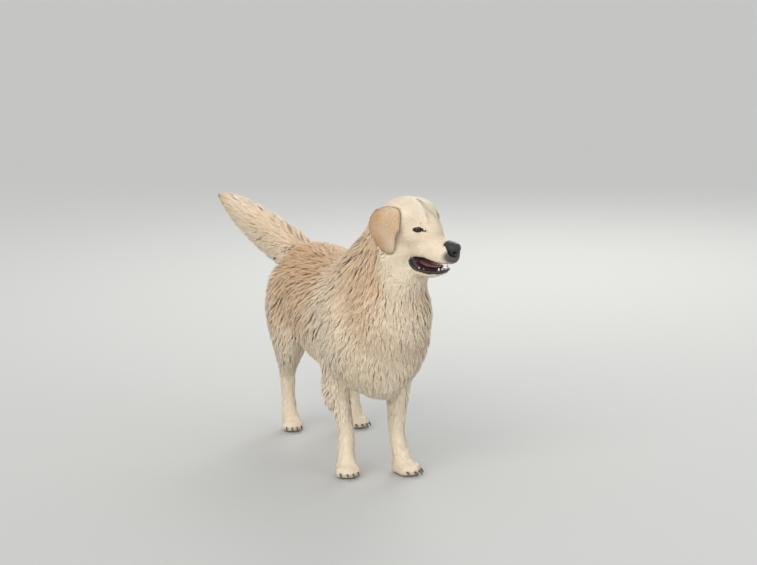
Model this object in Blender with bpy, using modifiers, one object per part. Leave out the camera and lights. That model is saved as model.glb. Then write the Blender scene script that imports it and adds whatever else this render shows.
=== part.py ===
"""A standing golden retriever, life size, as a still museum model.

Metres, +Z up. The dog faces -Y and its left side is +X. The forms are modelled about a point on
the floor midway between the forefeet, and the finished model is moved so that the middle of its
box stands over the origin. The body is made whole from lofted sleeves and round masses, out to the
tips of the coat, and is then parted with thin cuts.
"""

import math

import bmesh
import bpy
import numpy as np
from mathutils import Matrix, Vector

# ---- driving sizes ----------------------------------------------------------------------------
WITHERS = 0.600          # floor to the top of the shoulder coat
CHEST_HALF = 0.146       # half the width of the rib cage with its coat
SKULL_TOP = 0.058        # crown of the skull above the eyes
MUZZLE_REACH = 0.097     # eyes to the front of the upper lip
EYE_RADIUS = 0.0122
EYE_SPREAD = 0.0325      # middle plane of the head to each eye
EYE_DEPTH = 0.0075
EYE_TURN = 22            # degrees that each eye looks outwards
GAP = 0.0003             # clearance between neighbouring solids
BODY_VOXEL = 0.0046
BODY_TRIANGLES = 2700

# ---- where the head, feet and tail are held -----------------------------------------------------
HEAD_AT = Vector((0.0835, -0.233, 0.7095))
HEAD_YAW, HEAD_PITCH, HEAD_ROLL = math.radians(29), math.radians(13), math.radians(4)
# foot: (sideways, back, toes turned out to the dog's left in degrees)
FORE_FEET = {"right": (-0.066, 0.050, -4), "left": (0.083, 0.004, 24)}
FORE_PAW, HIND_PAW = (0.068, 0.098), (0.062, 0.090)  # width, length
TOES = (-1, -1 / 3, 1 / 3, 1)                       # from the dog's right, across each paw
TOE_RADII = (0.0120, 0.0230, 0.0190)
FORE_KNEES = {"right": -0.056, "left": 0.071}
HIND_FEET = {"right": (-0.070, 0.566, -6), "left": (0.113, 0.523, 12)}
RUMP_SWAY = -0.018       # the hips lean over the right hind foot

SIDES = ("right", "left")

CREAM = (0.80, 0.68, 0.52)
GOLD = (0.70, 0.53, 0.36)
LEATHER = (0.02, 0.018, 0.018)
HORN = (0.20, 0.16, 0.13)
EYE_BROWN = (0.05, 0.02, 0.01)
TONGUE_PINK = (0.35, 0.12, 0.13)


def remove_all():
    for thing in list(bpy.data.objects):
        bpy.data.objects.remove(thing)


def material(name, colour, roughness, metallic=0.0):
    made = bpy.data.materials.new(name)
    made.use_nodes = True
    shader = made.node_tree.nodes["Principled BSDF"]
    shader.inputs["Base Color"].default_value = (*colour, 1.0)
    shader.inputs["Roughness"].default_value = roughness
    shader.inputs["Metallic"].default_value = metallic
    return made


def mesh_object(name, bm):
    """A bmesh as a new object of triangles, with its faces pointing out."""
    bmesh.ops.triangulate(bm, faces=bm.faces)
    bmesh.ops.recalc_face_normals(bm, faces=bm.faces)
    mesh = bpy.data.meshes.new(name)
    bm.to_mesh(mesh)
    bm.free()
    made = bpy.data.objects.new(name, mesh)
    bpy.context.scene.collection.objects.link(made)
    return made


# ---- forms ---------------------------------------------------------------------------------------
def smooth_rows(rows, per_span):
    """Catmull-Rom rows between the given ones, so that few stations give a smooth form."""
    rows = np.array(rows, float)
    ends = np.vstack([2 * rows[0] - rows[1], rows, 2 * rows[-1] - rows[-2]])
    out = []
    for i in range(1, len(ends) - 2):
        before, here, there, after = ends[i - 1 : i + 3]
        for k in range(per_span):
            t = k / per_span
            out.append(
                here
                + 0.5 * t * (there - before)
                + t * t * (before - 2.5 * here + 2 * there - 0.5 * after)
                + t**3 * (1.5 * (here - there) + 0.5 * (after - before))
            )
    return np.array(out + [rows[-1]])


def sleeve(name, stations, across=(1, 0, 0), sides=28, per_span=4, upright=None):
    """A closed loft. A station is (x, y, z, half width, rise, drop): the section's widest point,
    its half width along across, and how far it reaches above and below that. Sections stand
    square to the path, or to the direction upright if that is given."""
    rows = smooth_rows(stations, per_span)
    path, across = rows[:, :3], Vector(across)
    bm = bmesh.new()
    rings = []
    for i, row in enumerate(rows):
        run = Vector(upright) if upright else Vector(path[min(i + 1, len(path) - 1)] - path[max(i - 1, 0)])
        run.normalize()
        side = (across - run * across.dot(run)).normalized()
        rise_axis = run.cross(side)
        half, rise, drop = (max(value, 0.002) for value in row[3:6])
        ring = []
        for k in range(sides):
            angle = math.tau * k / sides
            lift = math.sin(angle)
            point = Vector(row[:3]) + side * half * math.cos(angle)
            point += rise_axis * lift * (rise if lift > 0 else drop)
            ring.append(bm.verts.new(point))
        rings.append(ring)
    for first, second in zip(rings, rings[1:]):
        for k in range(sides):
            bm.faces.new((first[k], first[(k + 1) % sides], second[(k + 1) % sides], second[k]))
    bm.faces.new(rings[0])
    bm.faces.new(rings[-1])
    return mesh_object(name, bm)


def mass(name, centre, radii, turn=None, segments=24):
    """A round mass: an ellipsoid, turned by a matrix if one is given."""
    bm = bmesh.new()
    bmesh.ops.create_uvsphere(bm, u_segments=segments, v_segments=segments // 2 + 1, radius=1.0)
    place = Matrix.Translation(centre) @ (turn or Matrix()) @ Matrix.Diagonal((*radii, 1.0))
    bmesh.ops.transform(bm, matrix=place, verts=bm.verts)
    return mesh_object(name, bm)


def block(name, low, high, place=None):
    """A box between two corners, put in place by a matrix."""
    low, high = Vector(low), Vector(high)
    bm = bmesh.new()
    bmesh.ops.create_cube(bm, size=1.0)
    size = high - low
    fit = Matrix.Translation((low + high) / 2) @ Matrix.Diagonal((*size, 1.0))
    bmesh.ops.transform(bm, matrix=(place or Matrix()) @ fit, verts=bm.verts)
    return mesh_object(name, bm)


# ---- working on meshes -----------------------------------------------------------------------------
def apply_modifiers(obj):
    graph = bpy.context.evaluated_depsgraph_get()
    done = bpy.data.meshes.new_from_object(obj.evaluated_get(graph))
    obj.modifiers.clear()
    obj.data = done
    return obj


def copy_of(obj, name):
    made = bpy.data.objects.new(name, obj.data.copy())
    bpy.context.scene.collection.objects.link(made)
    return made


def fused(name, pieces, voxel, rounds):
    """Overlapping closed pieces as one skin, with the creases between them eased."""
    bm = bmesh.new()
    for piece in pieces:
        bm.from_mesh(piece.data)
        bpy.data.objects.remove(piece)
    made = mesh_object(name, bm)
    remesh = made.modifiers.new("fuse", "REMESH")
    remesh.mode = "VOXEL"
    remesh.voxel_size = voxel
    ease = made.modifiers.new("ease", "SMOOTH")
    ease.iterations = rounds
    return apply_modifiers(made)


def boolean(obj, other, operation):
    """Cuts obj by other, or joins the two. other is used up."""
    cut = obj.modifiers.new("cut", "BOOLEAN")
    cut.operation = operation
    cut.object = other
    apply_modifiers(obj)
    bpy.data.objects.remove(other)
    return obj


def swollen(obj, by):
    """A copy of a closed piece, pushed out along its normals, to cut its seat in a neighbour."""
    made = copy_of(obj, "seat")
    made.data.update()
    normals = [vertex.normal.copy() for vertex in made.data.vertices]
    for vertex, normal in zip(made.data.vertices, normals):
        vertex.co += normal * by
    return made


def largest_island(obj):
    """Drops what a cut left loose, and keeps the piece with the most faces."""
    bm = bmesh.new()
    bm.from_mesh(obj.data)
    bmesh.ops.remove_doubles(bm, verts=bm.verts, dist=2e-6)
    unseen, islands = set(bm.faces), []
    while unseen:
        stack, island = [unseen.pop()], []
        while stack:
            face = stack.pop()
            island.append(face)
            for edge in face.edges:
                for near in edge.link_faces:
                    if near in unseen:
                        unseen.remove(near)
                        stack.append(near)
        islands.append(island)
    best = max(islands, key=len)
    spare = [face for island in islands if island is not best for face in island]
    bmesh.ops.delete(bm, geom=spare, context="FACES")
    bm.to_mesh(obj.data)
    bm.free()
    return obj


def thinned(obj, triangles, fine=None):
    """Fewer triangles. fine(point) from 0 to 1 says where the form needs to keep more of them."""
    bm = bmesh.new()
    bm.from_mesh(obj.data)
    bmesh.ops.triangulate(bm, faces=bm.faces)
    bm.to_mesh(obj.data)
    bm.free()
    thin = obj.modifiers.new("thin", "DECIMATE")
    thin.ratio = min(1.0, triangles / len(obj.data.polygons))
    if fine:
        group = obj.vertex_groups.new(name="coarse")
        for vertex in obj.data.vertices:
            group.add([vertex.index], 1.0 - fine(vertex.co), "REPLACE")
        thin.vertex_group = group.name
        thin.vertex_group_factor = 1.0
    apply_modifiers(obj)
    obj.vertex_groups.clear()
    return obj


# ---- the head, in its own axes: x to the dog's left, -y forward, z up, from the stop of the face -------
def head_place():
    turn = Matrix.Rotation(HEAD_YAW, 4, "Z")
    nod = Matrix.Rotation(HEAD_PITCH, 4, "X")
    tilt = Matrix.Rotation(-HEAD_ROLL, 4, "Y")
    return Matrix.Translation(HEAD_AT) @ turn @ nod @ tilt


def in_head(obj):
    obj.data.transform(head_place())
    return obj


def mirrored_masses(name, centre, radii, turn=None):
    x, y, z = centre
    flip = Matrix.Diagonal((-1, 1, 1, 1))
    return [
        mass(name, (x, y, z), radii, turn),
        mass(name, (-x, y, z), radii, flip @ (turn or Matrix()) @ flip),
    ]


def upper_head():
    """Skull, stop, muzzle and hanging lips as one sleeve, with brows, cheeks and whisker pads."""
    reach = MUZZLE_REACH
    crown = SKULL_TOP
    pieces = [
        sleeve(
            "skull",
            [
                (0, 0.136, -0.010, 0.034, 0.034, 0.030),
                (0, 0.112, -0.008, 0.055, crown - 0.006, 0.055),
                (0, 0.078, -0.006, 0.065, crown + 0.004, 0.070),
                (0, 0.044, -0.010, 0.063, crown + 0.007, 0.074),
                (0, 0.014, -0.016, 0.051, crown - 0.003, 0.062),
                (0, -0.006, -0.027, 0.041, 0.045, 0.052),
                (0, -0.021, -0.040, 0.039, 0.032, 0.034),
                (0, -0.046, -0.046, 0.0385, 0.031, 0.023),
                (0, -0.070, -0.047, 0.0370, 0.031, 0.025),
                (0, -reach + 0.010, -0.046, 0.0330, 0.029, 0.028),
                (0, -reach + 0.002, -0.046, 0.0245, 0.023, 0.023),
                (0, -reach - 0.002, -0.044, 0.014, 0.013, 0.012),
            ],
        )
    ]
    pieces += mirrored_masses("crown", (0.032, 0.058, 0.022), (0.028, 0.052, 0.030))
    pieces += mirrored_masses("brow", (0.022, 0.006, 0.014), (0.015, 0.019, 0.018))
    pieces += mirrored_masses("cheekbone", (0.041, 0.030, -0.022), (0.020, 0.045, 0.028))
    pieces += mirrored_masses("cheek", (0.038, 0.054, -0.072), (0.026, 0.042, 0.038))
    pieces += mirrored_masses("muzzle_root", (0.033, 0.004, -0.050), (0.017, 0.040, 0.026))
    pieces += mirrored_masses("whisker_pad", (0.021, -0.064, -0.052), (0.019, 0.030, 0.020))
    pieces += mirrored_masses("hanging_lip", (0.032, -0.044, -0.057), (0.009, 0.042, 0.014))
    return pieces


def lower_jaw():
    return [
        sleeve(
            "jaw",
            [
                (0, 0.080, -0.078, 0.045, 0.020, 0.035),
                (0, 0.045, -0.094, 0.046, 0.012, 0.034),
                (0, 0.012, -0.103, 0.043, 0.007, 0.028),
                (0, -0.020, -0.107, 0.038, 0.008, 0.022),
                (0, -0.050, -0.101, 0.032, 0.009, 0.022),
                (0, -0.072, -0.095, 0.025, 0.009, 0.017),
                (0, -0.082, -0.092, 0.012, 0.006, 0.010),
            ],
        )
    ]


def nose_leather(grow=0.0):
    """The bare nose: a wide pad, square across the top and narrowing down to the lip."""
    front = -MUZZLE_REACH
    return sleeve(
        "nose",
        [
            (0, front + 0.030, -0.020, 0.010 + grow, 0.008 + grow, 0.010 + grow),
            (0, front + 0.022, -0.024, 0.0175 + grow, 0.013 + grow, 0.016 + grow),
            (0, front + 0.010, -0.027, 0.0205 + grow, 0.016 + grow, 0.021 + grow),
            (0, front - 0.001, -0.029, 0.0190 + grow, 0.016 + grow, 0.022 + grow),
            (0, front - 0.008 - grow, -0.030, 0.0125 + grow, 0.011 + grow, 0.017 + grow),
            (0, front - 0.011 - grow, -0.031, 0.005, 0.005, 0.008),
        ],
        sides=16,
        per_span=1,
    )


# ---- trunk, neck, legs and tail ---------------------------------------------------------------------
def trunk():
    chest = CHEST_HALF
    top = WITHERS
    rear = RUMP_SWAY
    return [
        sleeve(
            "trunk",
            [
                (0.004, -0.168, 0.405, 0.050, 0.050, 0.060),
                (0.003, -0.148, 0.405, 0.095, 0.100, 0.115),
                (0.002, -0.100, 0.410, chest - 0.012, 0.135, 0.160),
                (0.000, -0.040, 0.410, chest, 0.165, 0.180),
                (0.000, 0.030, 0.410, chest - 0.002, top - 0.410, 0.168),
                (rear * 0.2, 0.120, 0.420, chest - 0.004, 0.168, 0.180),
                (rear * 0.5, 0.240, 0.430, chest + 0.003, 0.150, 0.180),
                (rear * 0.8, 0.350, 0.440, chest - 0.012, 0.140, 0.165),
                (rear, 0.440, 0.450, chest - 0.020, 0.125, 0.130),
                (rear, 0.515, 0.450, chest - 0.034, 0.105, 0.110),
                (rear, 0.565, 0.445, 0.080, 0.072, 0.085),
                (rear, 0.585, 0.440, 0.035, 0.035, 0.040),
            ],
            upright=(0, -1, 0),
            sides=36,
        ),
        mass("mane", (0.016, -0.118, 0.465), (0.118, 0.088, 0.140)),
        mass("brisket_tuft", (0.002, -0.060, 0.285), (0.070, 0.085, 0.060)),
        mass("shoulder", (-0.098, -0.015, 0.420), (0.050, 0.100, 0.135)),
        mass("shoulder", (0.098, -0.020, 0.420), (0.050, 0.100, 0.135)),
    ]


def neck():
    """From between the shoulders to the back of the skull, with the ruff of the coat."""
    back = head_place() @ Vector((0, 0.085, -0.020))
    under = head_place() @ Vector((0, 0.040, -0.060))
    throat = head_place() @ Vector((0, 0.020, -0.085))
    return [
        sleeve(
            "neck",
            [
                (0.000, 0.040, 0.440, 0.130, 0.120, 0.120),
                (0.004, -0.020, 0.520, 0.128, 0.105, 0.130),
                (0.018, -0.075, 0.590, 0.112, 0.092, 0.122),
                (0.034, -0.118, 0.645, 0.098, 0.080, 0.108),
                (*back, 0.082, 0.066, 0.088),
                (*under, 0.066, 0.050, 0.060),
            ],
            per_span=5,
        ),
        sleeve(
            "throat",
            [
                (0.014, -0.120, 0.480, 0.095, 0.070, 0.080),
                (0.034, -0.150, 0.565, 0.080, 0.060, 0.068),
                (*throat, 0.048, 0.045, 0.034),
            ],
        ),
    ]


def foreleg(side):
    """Elbow to pastern. The fringe behind the forearm is the deep rear half of the sections."""
    foot_x, foot_y, _ = FORE_FEET[side]
    knee_x = FORE_KNEES[side]
    elbow_x = math.copysign(0.088, foot_x)
    forearm_x = (knee_x + elbow_x) / 2
    return sleeve(
        f"foreleg_{side}",
        [
            (elbow_x, foot_y - 0.030, 0.400, 0.052, 0.070, 0.080),
            (elbow_x, foot_y - 0.006, 0.330, 0.046, 0.050, 0.086),
            (forearm_x + (elbow_x - knee_x) * 0.2, foot_y + 0.006, 0.270, 0.038, 0.038, 0.092),
            (forearm_x, foot_y + 0.012, 0.215, 0.031, 0.032, 0.082),
            (knee_x + (elbow_x - knee_x) * 0.2, foot_y + 0.015, 0.160, 0.027, 0.029, 0.060),
            (knee_x, foot_y + 0.016, 0.105, 0.026, 0.029, 0.034),
            ((knee_x + foot_x) / 2, foot_y + 0.008, 0.065, 0.026, 0.027, 0.029),
            ((knee_x + 3 * foot_x) / 4, foot_y, 0.034, 0.028, 0.030, 0.028),
        ],
    )


def hindleg(side):
    """Hip to pastern, with the deep soft coat behind the thigh."""
    foot_x, foot_y, _ = HIND_FEET[side]
    sign = -1 if side == "right" else 1
    hip_x = 0.062 * sign + RUMP_SWAY
    hip_y = 0.455
    back = foot_y

    def across(share):
        return hip_x + (foot_x - hip_x) * share

    return sleeve(
        f"hindleg_{side}",
        [
            (hip_x, hip_y, 0.480, 0.070, 0.095, 0.105),
            (hip_x + 0.020 * sign, hip_y - 0.008, 0.390, 0.066, 0.098, 0.120),
            (across(0.40) + 0.022 * sign, hip_y + 0.010, 0.315, 0.058, 0.088, 0.110),
            (across(0.60) + 0.016 * sign, hip_y + 0.050, 0.250, 0.043, 0.064, 0.086),
            (across(0.80) + 0.006 * sign, back - 0.006, 0.200, 0.032, 0.044, 0.054),
            (across(0.92), back + 0.024, 0.160, 0.027, 0.034, 0.036),
            (foot_x, back + 0.026, 0.110, 0.0235, 0.028, 0.029),
            (foot_x, back + 0.018, 0.060, 0.024, 0.027, 0.029),
            (foot_x, back + 0.006, 0.032, 0.027, 0.030, 0.028),
        ],
    )


def toe_place(out, width, length):
    """How far a toe's middle is from the paw's, sideways and forward. The middle two reach further."""
    return out * width * 0.36, length * (0.36 if abs(out) < 0.5 else 0.22)


def paw(x, y, turned, width, length):
    """A pad with four arched toes, in place on the floor."""
    place = Matrix.Translation((x, y, 0)) @ Matrix.Rotation(math.radians(turned), 4, "Z")
    pieces = [mass("paw", (0, 0.004, 0.018), (width * 0.44, length * 0.40, 0.030))]
    for out in TOES:
        splay = Matrix.Rotation(math.radians(10 * out), 4, "Z")
        sideways, reach = toe_place(out, width, length)
        pieces.append(mass("toe", (sideways, -reach, 0.016), TOE_RADII, splay))
    for piece in pieces:
        piece.data.transform(place)
    return pieces


def tail():
    """Root to tip, swung to the dog's right and carried up, with its plume."""
    return sleeve(
        "tail",
        [
            (RUMP_SWAY, 0.510, 0.515, 0.044, 0.060, 0.034),
            (RUMP_SWAY - 0.018, 0.570, 0.538, 0.044, 0.096, 0.046),
            (RUMP_SWAY - 0.052, 0.632, 0.565, 0.040, 0.104, 0.058),
            (RUMP_SWAY - 0.094, 0.690, 0.596, 0.037, 0.096, 0.060),
            (RUMP_SWAY - 0.134, 0.736, 0.628, 0.033, 0.074, 0.054),
            (RUMP_SWAY - 0.166, 0.772, 0.655, 0.026, 0.044, 0.036),
            (RUMP_SWAY - 0.192, 0.797, 0.674, 0.009, 0.012, 0.010),
        ],
    )


def elbow_fringe(side):
    foot_x, foot_y, _ = FORE_FEET[side]
    return mass("fringe", (math.copysign(0.092, foot_x), foot_y + 0.058, 0.232), (0.024, 0.044, 0.066))


def whole_body():
    """Every form of flesh and coat as one skin, cut flat under the feet."""
    pieces = [in_head(piece) for piece in upper_head() + lower_jaw()]
    pieces += trunk() + neck() + [tail()]
    for side in SIDES:
        pieces += [foreleg(side), elbow_fringe(side), hindleg(side)]
        pieces += paw(*FORE_FEET[side], *FORE_PAW)
        pieces += paw(*HIND_FEET[side], *HIND_PAW)
    body = fused("body", pieces, BODY_VOXEL, rounds=4)
    thinned(body, BODY_TRIANGLES, fine=detail_needed)
    return boolean(body, block("floor", (-1, -1, -0.1), (1, 1.5, 0)), "DIFFERENCE")


def detail_needed(point):
    """1 on the face and the feet, falling to 0 on the trunk."""
    face = (point - HEAD_AT).length / 0.20
    foot = point.z / 0.10
    return min(0.4, max(0.1, 0.85 - face, 0.45 - foot))


def ear(side):
    """A folded ear leaf, hanging from the side of the skull and lying on the cheek."""
    leaf = sleeve(
        f"ear_{side}",
        [
            (0.050, 0.076, 0.038, 0.022, 0.006, 0.012),
            (0.061, 0.076, 0.027, 0.038, 0.009, 0.014),
            (0.073, 0.079, 0.008, 0.052, 0.011, 0.014),
            (0.079, 0.078, -0.018, 0.053, 0.011, 0.013),
            (0.080, 0.067, -0.042, 0.040, 0.010, 0.011),
            (0.079, 0.053, -0.062, 0.025, 0.008, 0.009),
            (0.078, 0.046, -0.075, 0.010, 0.004, 0.004),
        ],
        across=(0, 1, 0),
        sides=12,
        per_span=2,
    )
    if side == "right":
        leaf.data.transform(Matrix.Diagonal((-1, 1, 1, 1)))
        leaf.data.flip_normals()
    return in_head(leaf)


def eye(side, grow=0.0):
    """The ball of the eye, in place in the skull."""
    x = math.copysign(EYE_SPREAD, -1 if side == "right" else 1)
    ball = mass(f"eye_{side}", (x, EYE_DEPTH, 0), [EYE_RADIUS + grow] * 3, segments=12)
    return in_head(ball)


def eye_opening(side):
    """The slit between the lids, from the ball out through the face."""
    sign = -1 if side == "right" else 1
    gaze = Matrix.Rotation(math.radians(EYE_TURN * sign), 4, "Z")
    slit = mass("slit", (0, -0.017, 0), (EYE_RADIUS * 1.08, 0.022, EYE_RADIUS * 0.78), segments=12)
    slit.data.transform(Matrix.Translation((EYE_SPREAD * sign, EYE_DEPTH, 0)) @ gaze)
    return in_head(slit)


def tongue():
    return in_head(
        sleeve(
            "tongue",
            [
                (0, 0.045, -0.088, 0.014, 0.008, 0.008),
                (0, 0.012, -0.092, 0.020, 0.008, 0.010),
                (0, -0.025, -0.094, 0.017, 0.006, 0.012),
                (0, -0.050, -0.090, 0.014, 0.005, 0.010),
                (0, -0.060, -0.087, 0.006, 0.003, 0.005),
            ],
            sides=12,
            per_span=1,
        )
    )


def tooth(x, y, z, radius, height):
    """One tooth as a blunt cone on its gum. A negative height points down."""
    bm = bmesh.new()
    bmesh.ops.create_cone(
        bm, cap_ends=True, segments=5, radius1=radius, radius2=radius * 0.35, depth=abs(height)
    )
    way = Matrix.Rotation(math.pi if height < 0 else 0.0, 4, "X")
    bmesh.ops.transform(bm, matrix=Matrix.Translation((x, y, z + height / 2)) @ way, verts=bm.verts)
    return in_head(mesh_object("tooth", bm))


def lower_teeth():
    front = -0.074
    teeth = []
    for k in range(6):
        spot = (k - 2.5) * 0.0044
        teeth.append(tooth(spot, front + abs(spot) * 0.3, -0.092, 0.0019, 0.009))
    for sign in (-1, 1):
        teeth.append(tooth(0.0165 * sign, front + 0.009, -0.094, 0.0036, 0.016))
        for k in range(4):
            teeth.append(tooth((0.021 + 0.003 * k) * sign, front + 0.024 + 0.013 * k, -0.101, 0.0040, 0.011))
    return teeth


def upper_teeth():
    front = -0.084
    teeth = []
    for sign in (-1, 1):
        teeth.append(tooth(0.0205 * sign, front + 0.012, -0.064, 0.0038, -0.018))
        for k in range(3):
            teeth.append(tooth((0.024 + 0.003 * k) * sign, front + 0.032 + 0.014 * k, -0.062, 0.0042, -0.013))
    return teeth


def claw(name, x, y, turned, out, width, length):
    """One short claw, curving down from the end of its toe."""
    place = Matrix.Translation((x, y, 0)) @ Matrix.Rotation(math.radians(turned), 4, "Z")
    sideways, reach = toe_place(out, width, length)
    tip = -reach - TOE_RADII[1]
    made = sleeve(
        name,
        [
            (sideways, tip + 0.010, 0.0150, 0.0024, 0.0030, 0.0030),
            (sideways, tip + 0.002, 0.0145, 0.0026, 0.0034, 0.0030),
            (sideways * 1.01, tip - 0.003, 0.0110, 0.0020, 0.0026, 0.0024),
            (sideways * 1.02, tip - 0.0055, 0.0065, 0.0008, 0.0008, 0.0008),
        ],
        sides=6,
        per_span=1,
    )
    made.data.transform(place)
    return made


# ---- parting the whole into its named pieces ------------------------------------------------------------
def part_off(rest, name, region):
    """Takes the stretch of rest inside a region as its own piece. region(grow) gives the region's
    solid, and the rest is cut by one that is larger by the clearance."""
    piece = copy_of(rest, name)
    boolean(piece, region(0.0), "INTERSECT")
    boolean(rest, region(GAP), "DIFFERENCE")
    return piece


def box_region(low, high, place=None):
    def solid(grow):
        return block("region", [v - grow for v in low], [v + grow for v in high], place)

    return solid


def round_region(centre, radii):
    def solid(grow):
        return mass("region", centre, [radius + grow for radius in radii], segments=14)

    return solid


def part_head(body):
    behind_skull = head_place() @ Matrix.Translation((0, 0.090, -0.045))
    behind_skull = behind_skull @ Matrix.Rotation(math.radians(-31), 4, "X")
    return part_off(body, "head", box_region((-0.15, -0.30, -0.135), (0.15, 0.0, 0.20), behind_skull))


def part_jaw(head):
    bite = head_place() @ Matrix.Translation((0, 0, -0.0935))
    bite = bite @ Matrix.Rotation(math.radians(-11), 4, "X")
    return part_off(head, "lower_jaw", box_region((-0.08, -0.12, -0.12), (0.08, 0.030, 0.0), bite))


def part_neck(body):
    collar_line = Matrix.Translation((0, -0.070, 0.535)) @ Matrix.Rotation(math.radians(33), 4, "X")
    return part_off(body, "neck", box_region((-0.25, -0.30, 0.0), (0.25, 0.30, 0.40), collar_line))


def part_tail(body):
    root = Vector((RUMP_SWAY, 0.585, 0.545))
    away = Vector((-0.30, 0.88, 0.36)).to_track_quat("Y", "Z").to_matrix().to_4x4()
    return part_off(
        body, "tail", box_region((-0.2, 0.0, -0.3), (0.2, 0.4, 0.2), Matrix.Translation(root) @ away)
    )


def part_limbs(body):
    made = {}
    for side in SIDES:
        sign = -1 if side == "right" else 1
        fore_x, fore_y, _ = FORE_FEET[side]
        hind_x, hind_y, _ = HIND_FEET[side]
        shoulder = round_region((0.100 * sign, fore_y + 0.020, 0.120), (0.088, 0.135, 0.250))
        made[f"foreleg_{side}"] = part_off(body, f"foreleg_{side}", shoulder)
        hip = round_region((RUMP_SWAY + 0.100 * sign, hind_y - 0.040, 0.170), (0.0996, 0.180, 0.260))
        made[f"hindleg_{side}"] = part_off(body, f"hindleg_{side}", hip)
        for limb, x, y in (("fore", fore_x, fore_y), ("hind", hind_x, hind_y)):
            foot = box_region((x - 0.08, y - 0.12, -0.05), (x + 0.08, y + 0.09, 0.056))
            made[f"{limb}paw_{side}"] = part_off(made[f"{limb}leg_{side}"], f"{limb}paw_{side}", foot)
    return made


# ---- the dog -------------------------------------------------------------------------------------------
def fitted(piece, *neighbours):
    """Trims a piece to lie against its neighbours with the usual clearance."""
    for neighbour in neighbours:
        boolean(piece, swollen(neighbour, GAP), "DIFFERENCE")
    return largest_island(piece)


def face_pieces(head, neck):
    """Jaw, teeth, tongue, nose, eyes and ears, each seated in the head."""
    jaw = part_jaw(head)
    for tooth_piece in lower_teeth():
        boolean(jaw, tooth_piece, "UNION")
    for tooth_piece in upper_teeth():
        boolean(head, tooth_piece, "UNION")
    boolean(head, in_head(nose_leather(GAP)), "DIFFERENCE")
    for side in SIDES:
        boolean(head, eye_opening(side), "DIFFERENCE")
        boolean(head, eye(side, GAP), "DIFFERENCE")
    leather = in_head(nose_leather())
    ears = [ear(side) for side in SIDES]
    for leaf in ears:
        boolean(head, swollen(leaf, 1.5 * GAP), "DIFFERENCE")
        boolean(neck, swollen(leaf, 1.5 * GAP), "DIFFERENCE")
    return [jaw, fitted(tongue(), head, jaw), leather, *ears, *[eye(side) for side in SIDES]]


def claws(paws):
    """Four claws to a paw, each in a seat at the end of its toe."""
    made = []
    for limb, feet, (width, length) in (("fore", FORE_FEET, FORE_PAW), ("hind", HIND_FEET, HIND_PAW)):
        for side in SIDES:
            for number, out in enumerate(TOES, start=1):
                nail = claw(f"claw_{limb}_{side}_{number}", *feet[side], out, width, length)
                boolean(paws[f"{limb}paw_{side}"], swollen(nail, 1.5 * GAP), "DIFFERENCE")
                made.append(nail)
    return made


def dress(piece):
    """Gives a piece the material of its kind."""
    kinds = (
        ("claw", ("claw_horn", HORN, 0.45)),
        ("nose", ("nose_leather", LEATHER, 0.40)),
        ("eye", ("eye_brown", EYE_BROWN, 0.06)),
        ("tongue", ("tongue_pink", TONGUE_PINK, 0.35)),
        ("ear", ("coat_gold", GOLD, 0.85)),
        ("", ("coat_cream", CREAM, 0.85)),
    )
    name, colour, roughness = next(look for start, look in kinds if piece.name.startswith(start))
    shade = bpy.data.materials.get(name) or material(name, colour, roughness)
    piece.data.materials.clear()
    piece.data.materials.append(shade)


def stand_on_origin(pieces):
    """Moves the dog so that the middle of its box is over the origin and its feet are on the floor."""
    points = [vertex.co for piece in pieces for vertex in piece.data.vertices]
    low = [min(point[axis] for point in points) for axis in range(2)]
    high = [max(point[axis] for point in points) for axis in range(2)]
    away = Matrix.Translation((-(low[0] + high[0]) / 2, -(low[1] + high[1]) / 2, 0))
    for piece in pieces:
        piece.data.transform(away)


def build():
    body = whole_body()
    head, neck = part_head(body), part_neck(body)
    limbs = part_limbs(body)
    pieces = [body, head, neck, part_tail(body), *limbs.values()]
    pieces += face_pieces(head, neck)
    pieces += claws(limbs)
    body.name = "trunk"
    stand_on_origin(pieces)
    dog = bpy.data.collections.new("golden_retriever")
    bpy.context.scene.collection.children.link(dog)
    for piece in pieces:
        dress(largest_island(piece))
        bpy.context.scene.collection.objects.unlink(piece)
        dog.objects.link(piece)


if __name__ == "__main__":
    remove_all()
    build()
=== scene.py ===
import math

import bmesh
import bpy
import numpy as np
from mathutils import Matrix, Vector, noise
from mathutils.bvhtree import BVHTree
from mathutils.kdtree import KDTree


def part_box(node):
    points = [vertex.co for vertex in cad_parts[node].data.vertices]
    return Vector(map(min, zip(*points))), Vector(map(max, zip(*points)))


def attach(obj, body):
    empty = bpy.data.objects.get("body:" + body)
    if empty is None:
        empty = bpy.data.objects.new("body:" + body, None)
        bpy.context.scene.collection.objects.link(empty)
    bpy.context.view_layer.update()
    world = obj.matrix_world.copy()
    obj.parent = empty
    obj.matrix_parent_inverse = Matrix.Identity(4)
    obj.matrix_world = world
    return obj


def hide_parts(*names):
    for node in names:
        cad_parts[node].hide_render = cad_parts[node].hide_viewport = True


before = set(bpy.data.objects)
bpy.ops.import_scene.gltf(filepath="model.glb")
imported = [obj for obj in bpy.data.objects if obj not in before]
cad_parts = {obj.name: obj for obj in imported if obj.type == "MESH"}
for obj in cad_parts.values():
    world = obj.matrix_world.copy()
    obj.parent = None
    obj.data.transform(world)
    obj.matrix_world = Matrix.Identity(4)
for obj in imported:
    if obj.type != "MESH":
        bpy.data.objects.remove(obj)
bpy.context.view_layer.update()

# ---- where the dog's head and feet are ----------------------------------------------------------------
# The head's own axes run x to the dog's left, -y forward and z up, from a point between the eyes.
# The body's own axes start on the floor, midway between the forefeet.
SIDES = {"right": -1, "left": 1}
HEAD_TURNS = (("Z", 29), ("X", 13), ("Y", -4))     # to its left, nose down, tipped: in degrees
HEAD_FROM_FEET = Vector((0.0835, -0.233, 0.7095))
EYE_DEPTH = 0.0075                                 # how far back the balls of the eyes are
head_turn = Matrix.Identity(4)
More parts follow.
